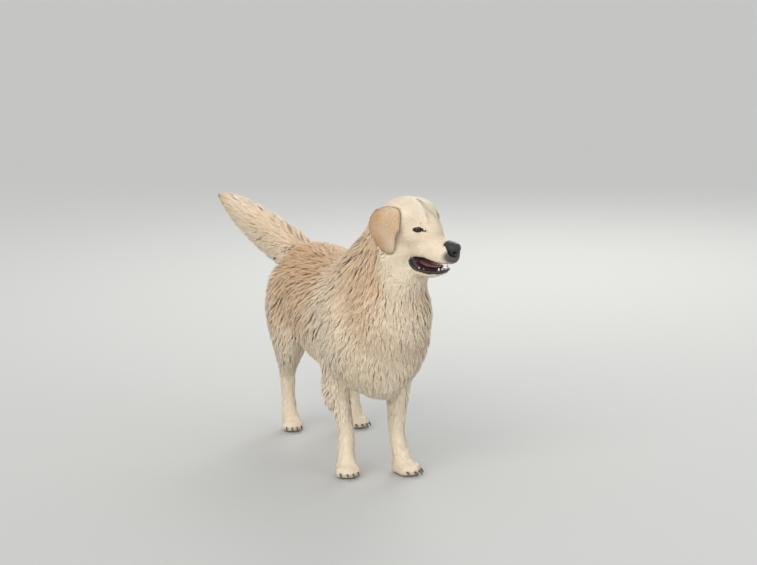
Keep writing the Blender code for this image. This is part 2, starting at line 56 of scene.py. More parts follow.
for axis, degrees in HEAD_TURNS:
    head_turn = head_turn @ Matrix.Rotation(math.radians(degrees), 4, axis)
eye_middles = {side: sum(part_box(f"eye_{side}"), Vector()) / 2 for side in SIDES}
between_eyes = (eye_middles["right"] + eye_middles["left"]) / 2
HEAD = Matrix.Translation(between_eyes) @ head_turn @ Matrix.Translation((0, -EYE_DEPTH, 0))
FEET = HEAD.translation - HEAD_FROM_FEET
FORE_FEET = {"right": (-0.066, 0.050), "left": (0.083, 0.004)}
HIND_FEET = {"right": (-0.070, 0.566), "left": (0.113, 0.523)}
RUMP_SWAY = -0.018                                 # the hips lean over the right hind foot

# ---- outline ------------------------------------------------------------------------------------------
# The whole animal out to the tips of its coat: the parted pieces closed up again and smoothed, more on
# the trunk than on the face. The hide lies inside it and the locks of hair end in it.
FLESH = ["head", "lower_jaw", "neck", "trunk", "tail"]
for limb in ("foreleg", "forepaw", "hindleg", "hindpaw"):
    FLESH += [f"{limb}_{side}" for side in SIDES]
SEAM = 0.0004             # more than half the cut between two neighbours
EYE_BALL, EYE_COVER = 0.0122, 0.0016
OUTLINE_VOXEL, EAR_VOXEL = 0.0028, 0.0024
BODY_KEPT = 0.2           # of the outline's triangles; the face keeps nearly all of its own
EYE_REFINED = 0.026       # round the middle of an eye, where the outline is finer
ROUNDS = {"all": 8, "mouth": 24, "eye": 60, "trunk": 60, "ear": 14}      # of easing
FACE_MIDDLE = (0, -0.01, -0.03)


def in_head(points):
    """Points of the model, in the head's own axes."""
    back = np.array(HEAD.inverted())
    return points @ back[:3, :3].T + back[:3, 3]


def apart(points, middle, radii=1):
    """How far points are from a place, or in an ellipsoid's radii from its middle."""
    return np.linalg.norm((points - middle) / radii, axis=1)


def step(low, high, value):
    """0 below low, 1 above high, and smooth between them."""
    t = np.clip((value - low) / (high - low), 0, 1)
    return t * t * (3 - 2 * t)


def new_object(name, mesh):
    made = bpy.data.objects.new(name, mesh)
    bpy.context.scene.collection.objects.link(made)
    return made


def shaded(mesh, smooth=True):
    mesh.polygons.foreach_set("use_smooth", [smooth] * len(mesh.polygons))


def object_of(name, bm, smooth=True):
    """A finished bmesh as an object, its faces pointing out."""
    bmesh.ops.recalc_face_normals(bm, faces=bm.faces)
    mesh = bpy.data.meshes.new(name)
    bm.to_mesh(mesh)
    bm.free()
    shaded(mesh, smooth)
    return new_object(name, mesh)


def listed(items, key, width, kind=float):
    """What a mesh holds for each of its vertices, edges or corners, as rows of numbers."""
    flat = np.empty(len(items) * width, kind)
    items.foreach_get(key, flat)
    return flat.reshape(-1, width)


def points_of(mesh):
    return listed(mesh.vertices, "co", 3)


def edges_of(mesh):
    return listed(mesh.edges, "vertices", 2, np.int64)


def place_points(mesh, points):
    mesh.vertices.foreach_set("co", np.ascontiguousarray(points, np.float32).ravel())
    mesh.update()


def relaxed(values, edges, rounds, share=1.0):
    """Values at the vertices, eased along the edges. share is how far each round goes."""
    count, width = values.shape
    degree = np.maximum(np.bincount(edges.ravel(), minlength=count), 1)[:, None]
    share = np.broadcast_to(share, (count,))[:, None]
    for _ in range(rounds):
        near = np.empty_like(values)
        for k in range(width):
            near[:, k] = np.bincount(edges[:, 0], values[edges[:, 1], k], count)
            near[:, k] += np.bincount(edges[:, 1], values[edges[:, 0], k], count)
        values = values + share * (near / degree - values)
    return values


def eased(obj, rounds, share):
    """Where the vertices of an object lie once they are relaxed."""
    return relaxed(points_of(obj.data), edges_of(obj.data), rounds, share=share)


def unit(vectors):
    return vectors / np.maximum(np.linalg.norm(vectors, axis=-1, keepdims=True), 1e-9)


def applied(obj):
    """The object with its modifiers made real."""
    graph = bpy.context.evaluated_depsgraph_get()
    mesh = bpy.data.meshes.new_from_object(obj.evaluated_get(graph))
    obj.modifiers.clear()
    obj.data = mesh
    return obj


def welded(node, grow):
    """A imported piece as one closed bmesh, grown a little along its normals."""
    part = bmesh.new()
    part.from_mesh(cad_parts[node].data)
    bmesh.ops.remove_doubles(part, verts=part.verts, dist=1e-5)
    part.normal_update()
    for vertex in part.verts:
        vertex.co += vertex.normal * grow
    return part


def remeshed(obj, voxel):
    close = obj.modifiers.new("close", "REMESH")
    close.mode = "VOXEL"
    close.voxel_size = voxel
    return applied(obj)


whole = bmesh.new()
node_points, node_faces, face_part = [], [], []
for number, node in enumerate(FLESH):
    part = welded(node, SEAM)
    loose = bpy.data.meshes.new("loose")
    part.to_mesh(loose)
    base = len(whole.verts)
    whole.from_mesh(loose)
    node_points += [vertex.co.copy() for vertex in part.verts]
    node_faces += [[base + vertex.index for vertex in face.verts] for face in part.faces]
    face_part += [number] * len(part.faces)
    part.free()
    bpy.data.meshes.remove(loose)
part_tree = BVHTree.FromPolygons(node_points, node_faces)
for middle in eye_middles.values():
    seat = Matrix.Translation(middle)
    bmesh.ops.create_uvsphere(whole, u_segments=32, v_segments=20, radius=EYE_BALL + EYE_COVER, matrix=seat)
outline = remeshed(object_of("outline", whole), OUTLINE_VOXEL)

points, edges = points_of(outline.data), edges_of(outline.data)
head_points = in_head(points)
on_face = 1 - step(0.09, 0.17, apart(head_points, FACE_MIDDLE))
on_foot = 1 - step(0.06, 0.12, points[:, 2])
# The teeth grow from their own gums, so the hide's own mouth is eased flat.
in_mouth = 1 - step(0.85, 1.0, apart(head_points, (0, -0.040, -0.086), (0.056, 0.085, 0.030)))
points = relaxed(points, edges, ROUNDS["all"], share=0.6)
points = relaxed(points, edges, ROUNDS["mouth"], share=0.9 * in_mouth)
for middle in eye_middles.values():
    by_eye = 1 - step(0.018, 0.029, apart(points, np.array(middle)))
    points = relaxed(points, edges, ROUNDS["eye"], share=0.9 * by_eye)
points = relaxed(points, edges, ROUNDS["trunk"], share=0.9 * (1 - on_face) * (1 - 0.8 * on_foot))
place_points(outline.data, points)
keep = outline.vertex_groups.new(name="keep")
thin_share = np.round(1 - np.maximum(on_face, 0.5 * on_foot) * 0.9, 2)
for level in np.unique(thin_share):
    keep.add(np.nonzero(thin_share == level)[0].tolist(), float(level), "REPLACE")
thin = outline.modifiers.new("thin", "DECIMATE")
thin.ratio = BODY_KEPT
thin.vertex_group = keep.name
thin.vertex_group_factor = 1.0
outline.modifiers.new("triangles", "TRIANGULATE")
applied(outline)
outline.vertex_groups.clear()
fine = bmesh.new()
fine.from_mesh(outline.data)
for middle in eye_middles.values():
    near = [e for e in fine.edges if all((v.co - middle).length < EYE_REFINED for v in e.verts)]
    bmesh.ops.subdivide_edges(fine, edges=near, cuts=2, use_grid_fill=True)
bmesh.ops.triangulate(fine, faces=fine.faces)
fine.to_mesh(outline.data)
fine.free()
body_count = len(outline.data.vertices)     # the vertices after these are the ears'
whole = bmesh.new()
whole.from_mesh(outline.data)
for side in SIDES:
    leaf = remeshed(object_of(f"leaf_{side}", welded(f"ear_{side}", 0)), EAR_VOXEL)
    place_points(leaf.data, eased(leaf, ROUNDS["ear"], 0.7))
    leaf.modifiers.new("triangles", "TRIANGULATE")
    applied(leaf)
    whole.from_mesh(leaf.data)
    bpy.data.objects.remove(leaf)
whole.to_mesh(outline.data)
whole.free()
points, edges = points_of(outline.data), edges_of(outline.data)
outline_normals = listed(outline.data.vertices, "normal", 3, np.float32).astype(float)
triangles = np.array([polygon.vertices[:] for polygon in outline.data.polygons])

# ---- grooming chart -----------------------------------------------------------------------------------
# How the coat lies over the body. Each row is a place, then the coat's depth, the length of its hair
# and the width of a lock in millimetres, how gold it is from 0 to 1, how far its locks wave, and the
# way that it lies. Rows off the middle are mirrored. Between rows the coat changes smoothly.
PARTS = {
    "head": ("head", "lower_jaw"),
    "neck": ("neck",),
    "trunk": ("trunk",),
    "tail": ("tail",),
    "fore_right": ("foreleg_right", "forepaw_right"),
    "fore_left": ("foreleg_left", "forepaw_left"),
    "hind_right": ("hindleg_right", "hindpaw_right"),
    "hind_left": ("hindleg_left", "hindpaw_left"),
    "ears": (),
}
HEAD_CHART = {
    "nose bridge": ((0, -0.06, -0.018), 1.5, 6, 1, 0.05, 0, (0, 1, 0.3)),
    "bridge, rear": ((0, -0.025, -0.008), 1.8, 8, 1, 0.1, 0, (0, 1, 0.5)),
    "stop": ((0, -0.006, 0.012), 2, 9, 1, 0.05, 0, (0, 0.5, 0.9)),
    "forehead": ((0.012, 0.008, 0.04), 3, 12, 1.1, 0.05, 0, (0, 0.6, 0.8)),
    "skull": ((0.02, 0.06, 0.058), 5, 18, 1.3, 0.12, 0, (0, 1, 0)),
    "occiput": ((0, 0.12, 0.03), 12, 30, 1.6, 0.3, 0.3, (0, 0.9, -0.5)),
    "brow": ((0.028, -0.004, 0.02), 2, 8, 1, 0.05, 0, (0.5, 0.6, 0.7)),
    "temple": ((0.055, 0.04, 0.02), 4, 14, 1.2, 0.12, 0, (0, 1, -0.1)),
    "inner eye": ((0.02, -0.018, -0.01), 1.5, 7, 1, 0.22, 0, (0.1, 0.8, 0.2)),
    "under eye": ((0.04, -0.004, -0.024), 2.2, 9, 1, 0.22, 0, (0.2, 1, -0.3)),
    "outer eye": ((0.05, 0.014, -0.004), 2.5, 10, 1.1, 0.1, 0, (0.1, 1, -0.1)),
    "whisker pad": ((0.034, -0.07, -0.048), 1.5, 6, 1, 0.05, 0, (0.2, 0.8, -0.5)),
    "muzzle front": ((0.012, -0.098, -0.052), 1.2, 5, 1, 0.05, 0, (0.6, 0.2, -0.7)),
    "muzzle side": ((0.04, -0.03, -0.045), 2, 8, 1, 0.05, 0, (0.1, 1, -0.25)),
    "flew": ((0.036, -0.04, -0.068), 2, 8, 1, 0, 0, (0.1, 0.8, -0.6)),
    "lip front": ((0.02, -0.085, -0.07), 1.5, 6, 1, 0, 0, (0.3, 0.7, -0.6)),
    "cheek": ((0.062, 0.045, -0.045), 9, 24, 1.5, 0.15, 0.2, (0, 0.85, -0.5)),
    "cheek, low": ((0.048, 0.03, -0.085), 9, 24, 1.5, 0.1, 0.2, (0, 0.8, -0.65)),
    "corner of lips": ((0.046, 0.01, -0.08), 4, 12, 1.1, 0.05, 0, (0, 0.9, -0.5)),
    "chin": ((0.01, -0.078, -0.108), 3, 10, 1.1, 0, 0, (0, 0.8, -0.5)),
    "jaw": ((0.034, -0.03, -0.114), 4, 13, 1.2, 0, 0, (0.1, 0.9, -0.5)),
    "under jaw": ((0, -0.01, -0.13), 7, 20, 1.4, 0.05, 0.1, (0, 1, -0.1)),
    "behind ear": ((0.07, 0.1, -0.02), 12, 34, 1.7, 0.35, 0.5, (0.1, 0.7, -0.8)),
}
NECK_CHART = {
    "nape": ((0.045, -0.06, 0.7), 20, 48, 2, 0.4, 0.5, (-0.15, 0.85, -0.6)),
    "nape, low": ((0.01, 0, 0.63), 24, 55, 2.1, 0.5, 0.6, (-0.05, 0.9, -0.5)),
    "side, high": ((0.12, -0.13, 0.64), 26, 50, 2, 0.55, 0.8, (0.1, 0.4, -0.9)),
    "side, high right": ((-0.05, -0.1, 0.64), 26, 50, 2, 0.62, 0.8, (-0.1, 0.4, -0.9)),
    "side": ((0.125, -0.08, 0.56), 30, 58, 2.1, 0.5, 0.9, (0.1, 0.35, -0.95)),
    "side right": ((-0.1, -0.07, 0.56), 30, 58, 2.1, 0.55, 0.9, (-0.1, 0.35, -0.95)),
    "side, front": ((0.1, -0.16, 0.56), 34, 62, 2.2, 0.4, 1, (0.1, 0.1, -1)),
    "side, front right": ((-0.06, -0.15, 0.56), 34, 62, 2.2, 0.65, 1, (-0.1, 0.1, -1)),
    "throat": ((0.04, -0.21, 0.57), 30, 62, 2.1, 0.25, 0.8, (0, 0.1, -1)),
    "throat, low": ((0.02, -0.215, 0.5), 38, 72, 2.2, 0.3, 1, (0, -0.02, -1)),
}
TRUNK_CHART = {
    "withers": ((0, 0.03, 0.6), 22, 52, 2.1, 0.55, 0.6, (0, 1, -0.15)),
    "back": ((0, 0.2, 0.59), 20, 55, 2.1, 0.9, 0.8, (0, 1, -0.05)),
    "loin": ((0, 0.36, 0.58), 20, 55, 2.1, 0.9, 0.8, (0, 1, -0.05)),
    "croup": ((-0.018, 0.5, 0.56), 20, 50, 2, 0.65, 0.6, (0, 1, -0.3)),
    "back, side": ((0.09, 0.2, 0.55), 20, 56, 2.1, 0.88, 0.8, (0.15, 0.9, -0.45)),
    "loin, side": ((0.085, 0.36, 0.545), 20, 54, 2.1, 0.85, 0.7, (0.15, 0.9, -0.45)),
    "ribs, high": ((0.135, 0.16, 0.48), 22, 56, 2.1, 0.6, 0.8, (0.05, 0.7, -0.75)),
    "ribs": ((0.145, 0.16, 0.4), 24, 60, 2.2, 0.52, 0.9, (0, 0.55, -0.85)),
    "ribs, low": ((0.125, 0.16, 0.3), 28, 66, 2.2, 0.1, 0.9, (-0.1, 0.5, -0.9)),
    "flank, high": ((0.13, 0.33, 0.48), 20, 52, 2.1, 0.6, 0.7, (0.05, 0.65, -0.75)),
    "flank": ((0.13, 0.32, 0.4), 22, 56, 2.2, 0.55, 0.8, (0, 0.55, -0.85)),
    "tuck-up": ((0.105, 0.32, 0.3), 24, 60, 2.2, 0.08, 0.8, (-0.05, 0.55, -0.85)),
    "belly": ((0, 0.18, 0.25), 26, 50, 2.1, 0, 0.6, (0, 0.9, -0.45)),
    "belly, rear": ((0, 0.34, 0.28), 22, 44, 2, 0, 0.5, (0, 0.9, -0.45)),
    "shoulder": ((0.142, -0.02, 0.46), 14, 32, 1.8, 0.05, 0.2, (0, 0.45, -0.9)),
    "shoulder, rear": ((0.145, 0.06, 0.46), 18, 46, 2, 0.45, 0.6, (0, 0.55, -0.85)),
    "upper arm": ((0.14, -0.03, 0.37), 13, 30, 1.8, 0.05, 0.2, (0, 0.35, -0.95)),
    "elbow": ((0.135, 0.04, 0.33), 18, 42, 2, 0.05, 0.6, (0, 0.5, -0.9)),
    "chest": ((0, -0.205, 0.42), 40, 76, 2.2, 0.22, 1, (0, 0.05, -1)),
    "chest, side": ((0.085, -0.16, 0.43), 34, 66, 2.2, 0.3, 1, (0.1, 0.08, -1)),
    "chest, low side": ((0.09, -0.12, 0.33), 30, 62, 2.2, 0.18, 0.9, (0.05, 0.12, -1)),
    "chest, low": ((0, -0.16, 0.31), 44, 78, 2.2, 0.15, 1, (0, 0.15, -1)),
    "brisket": ((0, -0.08, 0.235), 40, 74, 2.2, 0.05, 0.9, (0, 0.35, -1)),
    "rump": ((0.05, 0.57, 0.48), 22, 48, 2, 0.35, 0.5, (0.1, 0.6, -0.8)),
    "under tail": ((-0.018, 0.59, 0.45), 20, 46, 2, 0.1, 0.4, (0, 0.4, -0.9)),
    "thigh": ((0.12, 0.45, 0.44), 17, 40, 2, 0.55, 0.4, (0, 0.35, -0.95)),
}
TAIL_CHART = {
    "root": ((-0.02, 0.56, 0.575), 18, 48, 2, 0.45, 0.5, (-0.35, 0.85, 0.35)),
    "upper": ((-0.075, 0.62, 0.655), 18, 58, 2, 0.12, 0.5, (-0.5, 0.55, 0.62)),
    "upper, far": ((-0.13, 0.69, 0.705), 18, 56, 2, 0.1, 0.5, (-0.6, 0.55, 0.5)),
    "core": ((-0.085, 0.66, 0.605), 16, 56, 2, 0.5, 0.4, (-0.6, 0.7, 0.38)),
    "lower": ((-0.06, 0.67, 0.535), 20, 80, 2.2, 0.02, 0.9, (-0.45, 0.75, -0.25)),
    "lower, far": ((-0.13, 0.75, 0.59), 20, 76, 2.1, 0.05, 0.8, (-0.55, 0.75, 0.05)),
    "tip": ((-0.205, 0.795, 0.672), 10, 20, 1.5, 0.75, 0.2, (-0.68, 0.6, 0.42)),
}
EAR_CHART = {
    "root": ((0.055, 0.074, 0.04), 2.5, 14, 1.1, 0.45, 0.3, (0.5, 0.3, -0.8)),
    "front edge, high": ((0.066, 0.035, 0.02), 2, 11, 1, 0.72, 0.2, (0.25, -0.1, -0.95)),
    "rear, high": ((0.078, 0.115, 0.01), 2.5, 22, 1.2, 0.85, 0.4, (0.1, -0.15, -1)),
    "middle": ((0.088, 0.078, -0.01), 2, 10, 1, 0.55, 0.1, (0.05, -0.3, -0.95)),
    "front, low": ((0.086, 0.048, -0.045), 2, 9, 0.9, 0.48, 0, (0, -0.1, -1)),
    "rear, low": ((0.08, 0.085, -0.045), 2, 13, 1.1, 0.8, 0.3, (0, -0.4, -0.9)),
    "tip": ((0.08, 0.05, -0.072), 2, 10, 0.9, 0.62, 0.1, (0, -0.2, -1)),
}
# The legs have a height for each row, then the coat in front and the coat behind.
FORE_CHART = (
    (0.38, (12, 30, 1.8, 0.05, 0.2, (0, 0.2, -1)), (20, 46, 2, 0.02, 0.7, (0, 0.5, -0.9))),
    (0.3, (8, 22, 1.6, 0.03, 0.1, (0, 0.1, -1)), (14, 62, 2.1, 0, 0.8, (0, 0.75, -0.75))),
    (0.23, (6, 16, 1.4, 0.03, 0, (0, 0, -1)), (12, 64, 2.1, 0, 0.8, (0, 0.85, -0.6))),
    (0.16, (5, 13, 1.2, 0.04, 0, (0, 0, -1)), (9, 46, 1.9, 0, 0.6, (0, 0.8, -0.65))),
    (0.105, (4, 11, 1.2, 0.04, 0, (0, 0, -1)), (6, 18, 1.4, 0, 0.2, (0, 0.3, -1))),
    (0.06, (3.5, 10, 1.1, 0.02, 0, (0, -0.2, -1)), (5, 14, 1.3, 0, 0, (0, 0.2, -1))),
    (0.02, (3, 8, 1.1, 0, 0, (0, -0.6, -0.6)), (4, 10, 1.2, 0, 0, (0, 0.1, -1))),
)
HIND_CHART = (
    (0.43, (16, 40, 2, 0.5, 0.4, (0, 0.4, -0.95)), (24, 60, 2.1, 0.1, 0.7, (0, 0.55, -0.85))),
    (0.36, (16, 40, 2, 0.35, 0.4, (0, 0.3, -1)), (24, 70, 2.2, 0, 0.8, (0, 0.45, -0.9))),
    (0.3, (14, 38, 1.9, 0.1, 0.4, (0, 0.25, -1)), (20, 62, 2.2, 0, 0.8, (0, 0.4, -0.9))),
    (0.24, (10, 30, 1.8, 0.05, 0.3, (0, 0.25, -1)), (14, 48, 2, 0, 0.6, (0, 0.35, -0.95))),
    (0.185, (6, 18, 1.5, 0.08, 0.1, (0, 0.2, -1)), (9, 30, 1.7, 0.03, 0.3, (0, 0.3, -0.95))),
    (0.13, (4, 12, 1.2, 0.05, 0, (0, 0, -1)), (5, 14, 1.3, 0.03, 0, (0, 0.2, -1))),
    (0.07, (3.5, 10, 1.1, 0.02, 0, (0, -0.1, -1)), (4, 12, 1.2, 0, 0, (0, 0.1, -1))),
    (0.02, (3, 8, 1.1, 0, 0, (0, -0.6, -0.6)), (4, 10, 1.2, 0, 0, (0, 0.1, -1))),
)
DEPTH_SHARE = 0.00050     # metres of depth to a millimetre of the charts', as the locks lie pressed down
LEG_FRONT, LEG_REAR, LEG_SIDE = -0.05, 0.07, 0.03
CHART_BLUR = 0.004
BLENDS = {"parts": 14, "chart": 4, "lie": 16}     # rounds of easing


def from_head(points):
    """Places in the head's axes, as points of the model."""
    there = np.array(HEAD)
    return np.asarray(points) @ there[:3, :3].T + there[:3, 3]


def from_body(points):
    """Places in the body's axes, as points of the model."""
    return np.asarray(points) + np.array(FEET)


def chart_rows(chart, put, turn=None, mirrored=True):
    """Places and values of a chart, in the model's axes, with the rows off the middle mirrored."""
    places, values = [], []
    for place, *numbers, lie in chart.values():
        for side in (1, -1) if mirrored and place[0] else (1,):
            places.append((place[0] * side, *place[1:]))
            way = Vector((lie[0] * side, *lie[1:]))
            values.append([*numbers, *(turn @ way if turn else way)])
    return put(places), np.array(values, float)


def leg_rows(chart, feet, hip, side):
    """Front, rear, inner and outer rows down a leg from a hip or elbow to its foot."""
    places, values = [], []
    foot_x, foot_y = feet[side]
    for height, front, rear in chart:
        down = 1 - height / hip[2]
        x, y = hip[0] + (foot_x - hip[0]) * down, hip[1] + (foot_y - hip[1]) * down
        for away, row in ((LEG_FRONT, front), (LEG_REAR, rear)):
            for aside in (-LEG_SIDE, LEG_SIDE):
                places.append((x + aside, y + away, height))
                values.append([*row[:5], row[5][0] + aside, *row[5][1:]])
    return from_body(places), np.array(values, float)


charts = {
    "head": chart_rows(HEAD_CHART, from_head, HEAD.to_3x3()),
    "neck": chart_rows(NECK_CHART, from_body, mirrored=False),
    "trunk": chart_rows(TRUNK_CHART, from_body),
    "tail": chart_rows(TAIL_CHART, from_body, mirrored=False),
    "ears": chart_rows(EAR_CHART, from_head, HEAD.to_3x3()),
}
for side, sign in SIDES.items():
    elbow = (0.088 * sign, FORE_FEET[side][1] + 0.01, 0.40)
    hip = (0.080 * sign + RUMP_SWAY, 0.465, 0.44)
    charts[f"fore_{side}"] = leg_rows(FORE_CHART, FORE_FEET, elbow, side)
    charts[f"hind_{side}"] = leg_rows(HIND_CHART, HIND_FEET, hip, side)

part_of = np.array([face_part[part_tree.find_nearest(Vector(point))[2]] for point in points])
part_share = np.empty((len(points), len(PARTS)))
for k, nodes in enumerate(PARTS.values()):
    part_share[:, k] = np.isin(part_of, [FLESH.index(node) for node in nodes])
part_share[body_count:] = 0
part_share[body_count:, list(PARTS).index("ears")] = 1
part_share = relaxed(part_share, edges, BLENDS["parts"])
share_of = dict(zip(PARTS, part_share.T))
groomed = np.zeros((len(points), 8))
for name, (places, values) in charts.items():
    to_rows = np.linalg.norm(points[:, None] - places[None], axis=2)
    pull = 1 / (to_rows + CHART_BLUR) ** 4
    groomed += share_of[name][:, None] * (pull @ values) / pull.sum(1, keepdims=True)
groomed /= part_share.sum(1, keepdims=True)
groomed = relaxed(groomed, edges, BLENDS["chart"])
coat_depth, hair_length, lock_width, gold_and_shade, wave = groomed[:, :5].T
coat_depth, hair_length, lock_width = coat_depth * DEPTH_SHARE, hair_length / 1000, lock_width / 1000
lock_width *= 1 - 0.25 * (1 - step(0.010, 0.016, hair_length))
lie = groomed[:, 5:]
lie = lie - outline_normals * (lie * outline_normals).sum(1, keepdims=True)
lie = unit(relaxed(unit(lie), edges, BLENDS["lie"]))

# ---- hide ---------------------------------------------------------------------------------------------
# The dog's own skin in one piece, under the coat by the chart's depth. On the legs and tail it keeps to
# the limb itself, so that the fringes and the plume are hair alone.
HIDE_ROUNDS = 12          # of easing
LEAST_COVER = 0.5         # of the coat's depth, that stays over the hide
TAIL_CORE = (
    (0, 0.48, 0.49, 0.05), (0, 0.52, 0.518, 0.036), (-0.018, 0.572, 0.556, 0.026),
    (-0.052, 0.632, 0.59, 0.02), (-0.094, 0.69, 0.62, 0.016), (-0.134, 0.736, 0.646, 0.012),
    (-0.166, 0.772, 0.664, 0.009), (-0.182, 0.787, 0.672, 0.006),
)
LIMB_CORES = {"tail": [((RUMP_SWAY + x, y, z), radius) for x, y, z, radius in TAIL_CORE]}
for side, sign in SIDES.items():
    x, y = FORE_FEET[side]
    knee = {"right": -0.056, "left": 0.071}[side]
    elbow = 0.088 * sign
    LIMB_CORES[f"fore_{side}"] = [
        ((elbow, y - 0.020, 0.420), 0.075),
        ((elbow, y - 0.006, 0.330), 0.042),
        ((elbow * 0.6 + knee * 0.4, y + 0.000, 0.270), 0.034),
        ((elbow * 0.4 + knee * 0.6, y + 0.008, 0.200), 0.026),
        ((knee, y + 0.012, 0.150), 0.023),
        ((knee, y + 0.014, 0.105), 0.024),
        ((knee * 0.5 + x * 0.5, y + 0.006, 0.065), 0.024),
        ((x, y - 0.010, 0.030), 0.060),
    ]
    x, y = HIND_FEET[side]
    hip = 0.062 * sign + RUMP_SWAY
    LIMB_CORES[f"hind_{side}"] = [
        ((hip, 0.440, 0.470), 0.120),
        ((hip + 0.020 * sign, 0.440, 0.390), 0.095),
        ((hip * 0.6 + x * 0.4 + 0.020 * sign, 0.455, 0.315), 0.070),
        ((hip * 0.4 + x * 0.6 + 0.014 * sign, 0.490, 0.250), 0.046),
        ((hip * 0.2 + x * 0.8, y - 0.014, 0.200), 0.031),
        ((x, y + 0.016, 0.160), 0.023),
        ((x, y + 0.022, 0.110), 0.020),
        ((x, y + 0.014, 0.060), 0.022),
        ((x, y - 0.004, 0.030), 0.055),
    ]


def drawn_to_core(points, core):
    """Each point moved in to the limb's own thickness, where it is further from the limb's middle."""
    places = from_body([place for place, _ in core])
    radii = np.array([radius for _, radius in core])
    best = np.full(len(points), np.inf)
    out = points.copy()
    for first, second, thick, thin in zip(places, places[1:], radii, radii[1:]):
        run = second - first
        along = np.clip((points - first) @ run / (run @ run), 0, 1)[:, None]
        middle = first + along * run
        away = np.linalg.norm(points - middle, axis=1)
        radius = thick + along[:, 0] * (thin - thick)
        nearer = away / radius < best
        best = np.where(nearer, away / radius, best)
        moved = middle + (points - middle) * np.minimum(1, radius / away)[:, None]
        out[nearer] = moved[nearer]
    return out


hide_points = points - outline_normals * coat_depth[:, None]
for name, core in LIMB_CORES.items():
    share = share_of[name][:, None]
    hide_points += share * (drawn_to_core(hide_points, core) - hide_points)
head_points = in_head(points)
on_face = 1 - step(0.09, 0.15, apart(head_points, FACE_MIDDLE))
on_foot = 1 - step(0.03, 0.07, points[:, 2])
hide_points = relaxed(hide_points, edges, HIDE_ROUNDS, share=(1 - on_face) * (1 - 0.7 * on_foot))
inward = ((points - hide_points) * outline_normals).sum(1)
hide_points -= outline_normals * np.maximum(LEAST_COVER * coat_depth - inward, 0)[:, None]

# ---- folds of the forehead ----------------------------------------------------------------------------
# Two creases in the loose skin of the forehead, from the skull down to the inner ends of the brows. The
# hair parts round the eyes, and is shorter there.
FOLD = ((0.012, 0.055, 0.056), (0.001, 0.020, 0.048), (-0.010, -0.004, 0.033), (-0.017, -0.018, 0.019))
FOLD_WIDE, FOLD_DEEP = 0.0050, 0.0048


def from_line(points, line):
    """How far points are from a bent line."""
    best = np.full(len(points), np.inf)
    for first, second in zip(np.array(line)[:-1], np.array(line)[1:]):
        run = second - first
        along = np.clip((points - first) @ run / (run @ run), 0, 1)[:, None]
        best = np.minimum(best, np.linalg.norm(points - first - along * run, axis=1))
    return best


creased = 0
far_fold = np.array(FOLD) * (-1, 1, 1)
for line in (np.array(FOLD), np.vstack([FOLD[1], far_fold[2:]])):
    creased = np.maximum(creased, np.exp(-(from_line(head_points, line) / FOLD_WIDE) ** 2))
fold = outline_normals * (creased * FOLD_DEEP)[:, None]
fold[body_count:] = 0
points -= fold
hide_points -= fold
for middle in eye_middles.values():
    out = points - np.array(middle)
    round_eye = 1 - step(0.017, 0.032, np.linalg.norm(out, axis=1))
    parted = out - outline_normals * (out * outline_normals).sum(1, keepdims=True)
    lie = lie + unit(parted) * (2.2 * round_eye)[:, None]
    hair_length *= 1 - 0.45 * round_eye
    lock_width *= 1 - 0.25 * round_eye
lie = unit(lie)
# Painted shade: along the forehead's creases the coat and skin are painted darker, as a larger share of gold.
gold_and_shade = gold_and_shade + 0.30 * creased * (np.arange(len(points)) < body_count)

hide = new_object("hide", outline.data.copy())
hide.data.name = "hide"
place_points(hide.data, hide_points)
bpy.context.view_layer.objects.active = hide
hide.select_set(True)
hide.data.uv_layers.new(name="OFBake")
bpy.ops.object.mode_set(mode="EDIT")
bpy.ops.mesh.select_all(action="SELECT")
bpy.ops.uv.smart_project(angle_limit=math.radians(66), island_margin=0.002)
bpy.ops.object.mode_set(mode="OBJECT")

# ---- eyelids ------------------------------------------------------------------------------------------
# Lids of the same skin, wrapped on the balls of the eyes. Each pair opens between an upper and a lower
# plane that cross at its corners. Its rim turns in to the ball, and is bare and black, wider outwards.
LID = EYE_BALL + 0.0012         # radius of the lids' outer face
LID_TURN = math.radians(38)     # how far the openings look outwards
LID_SLANT = math.radians(-5)
LID_CORNER, LID_TOP, LID_BOTTOM = (math.radians(value) for value in (50, 27, -22))
LID_FREE = (48, 96)             # degrees from the opening's middle: wrapped, then free of the ball
LID_REACH = (0.0200, 0.0320)    # distance from the ball's middle: wrapped, then free of the ball
LID_RIM, RIM_GAP = 0.0022, 0.00005
RIM_FAR = 0.010                 # beyond which nothing is black from the rim
head_axes = HEAD.to_3x3()
lid_frames = {}
for side, sign in SIDES.items():
    gaze = Vector((sign * math.sin(LID_TURN), -math.cos(LID_TURN), 0))
    aside = Vector((sign * math.cos(LID_TURN), math.sin(LID_TURN), 0))
    above = Vector((0, 0, 1))
    aside, above = (
        aside * math.cos(LID_SLANT) + above * math.sin(LID_SLANT),
        above * math.cos(LID_SLANT) - aside * math.sin(LID_SLANT),
    )
    lid_frames[side] = [head_axes @ way for way in (aside, above, gaze)]


def lid_plane(side, angle):
    """A point on a lid's edge plane, and the plane's direction out of the opening."""
    _, above, gaze = lid_frames[side]
    out = (above * (math.cos(angle) - math.cos(LID_CORNER)) - gaze * math.sin(angle)).normalized()
    return eye_middles[side] + gaze * math.cos(LID_CORNER) * LID, out * (-1 if angle < 0 else 1)


lid_planes = {side: [lid_plane(side, angle) for angle in (LID_TOP, LID_BOTTOM)] for side in SIDES}


def in_opening(side, point):
    """Whether a point is between the lids, as seen from the middle of the eye."""
    middle = eye_middles[side]
    on_lids = middle + (point - middle).normalized() * LID
    return all((on_lids - place).dot(out) < 0 for place, out in lid_planes[side])


def tree_of(places):
    tree = KDTree(len(places))
    for k, place in enumerate(places):
        tree.insert(place, k)
    tree.balance()
    return tree


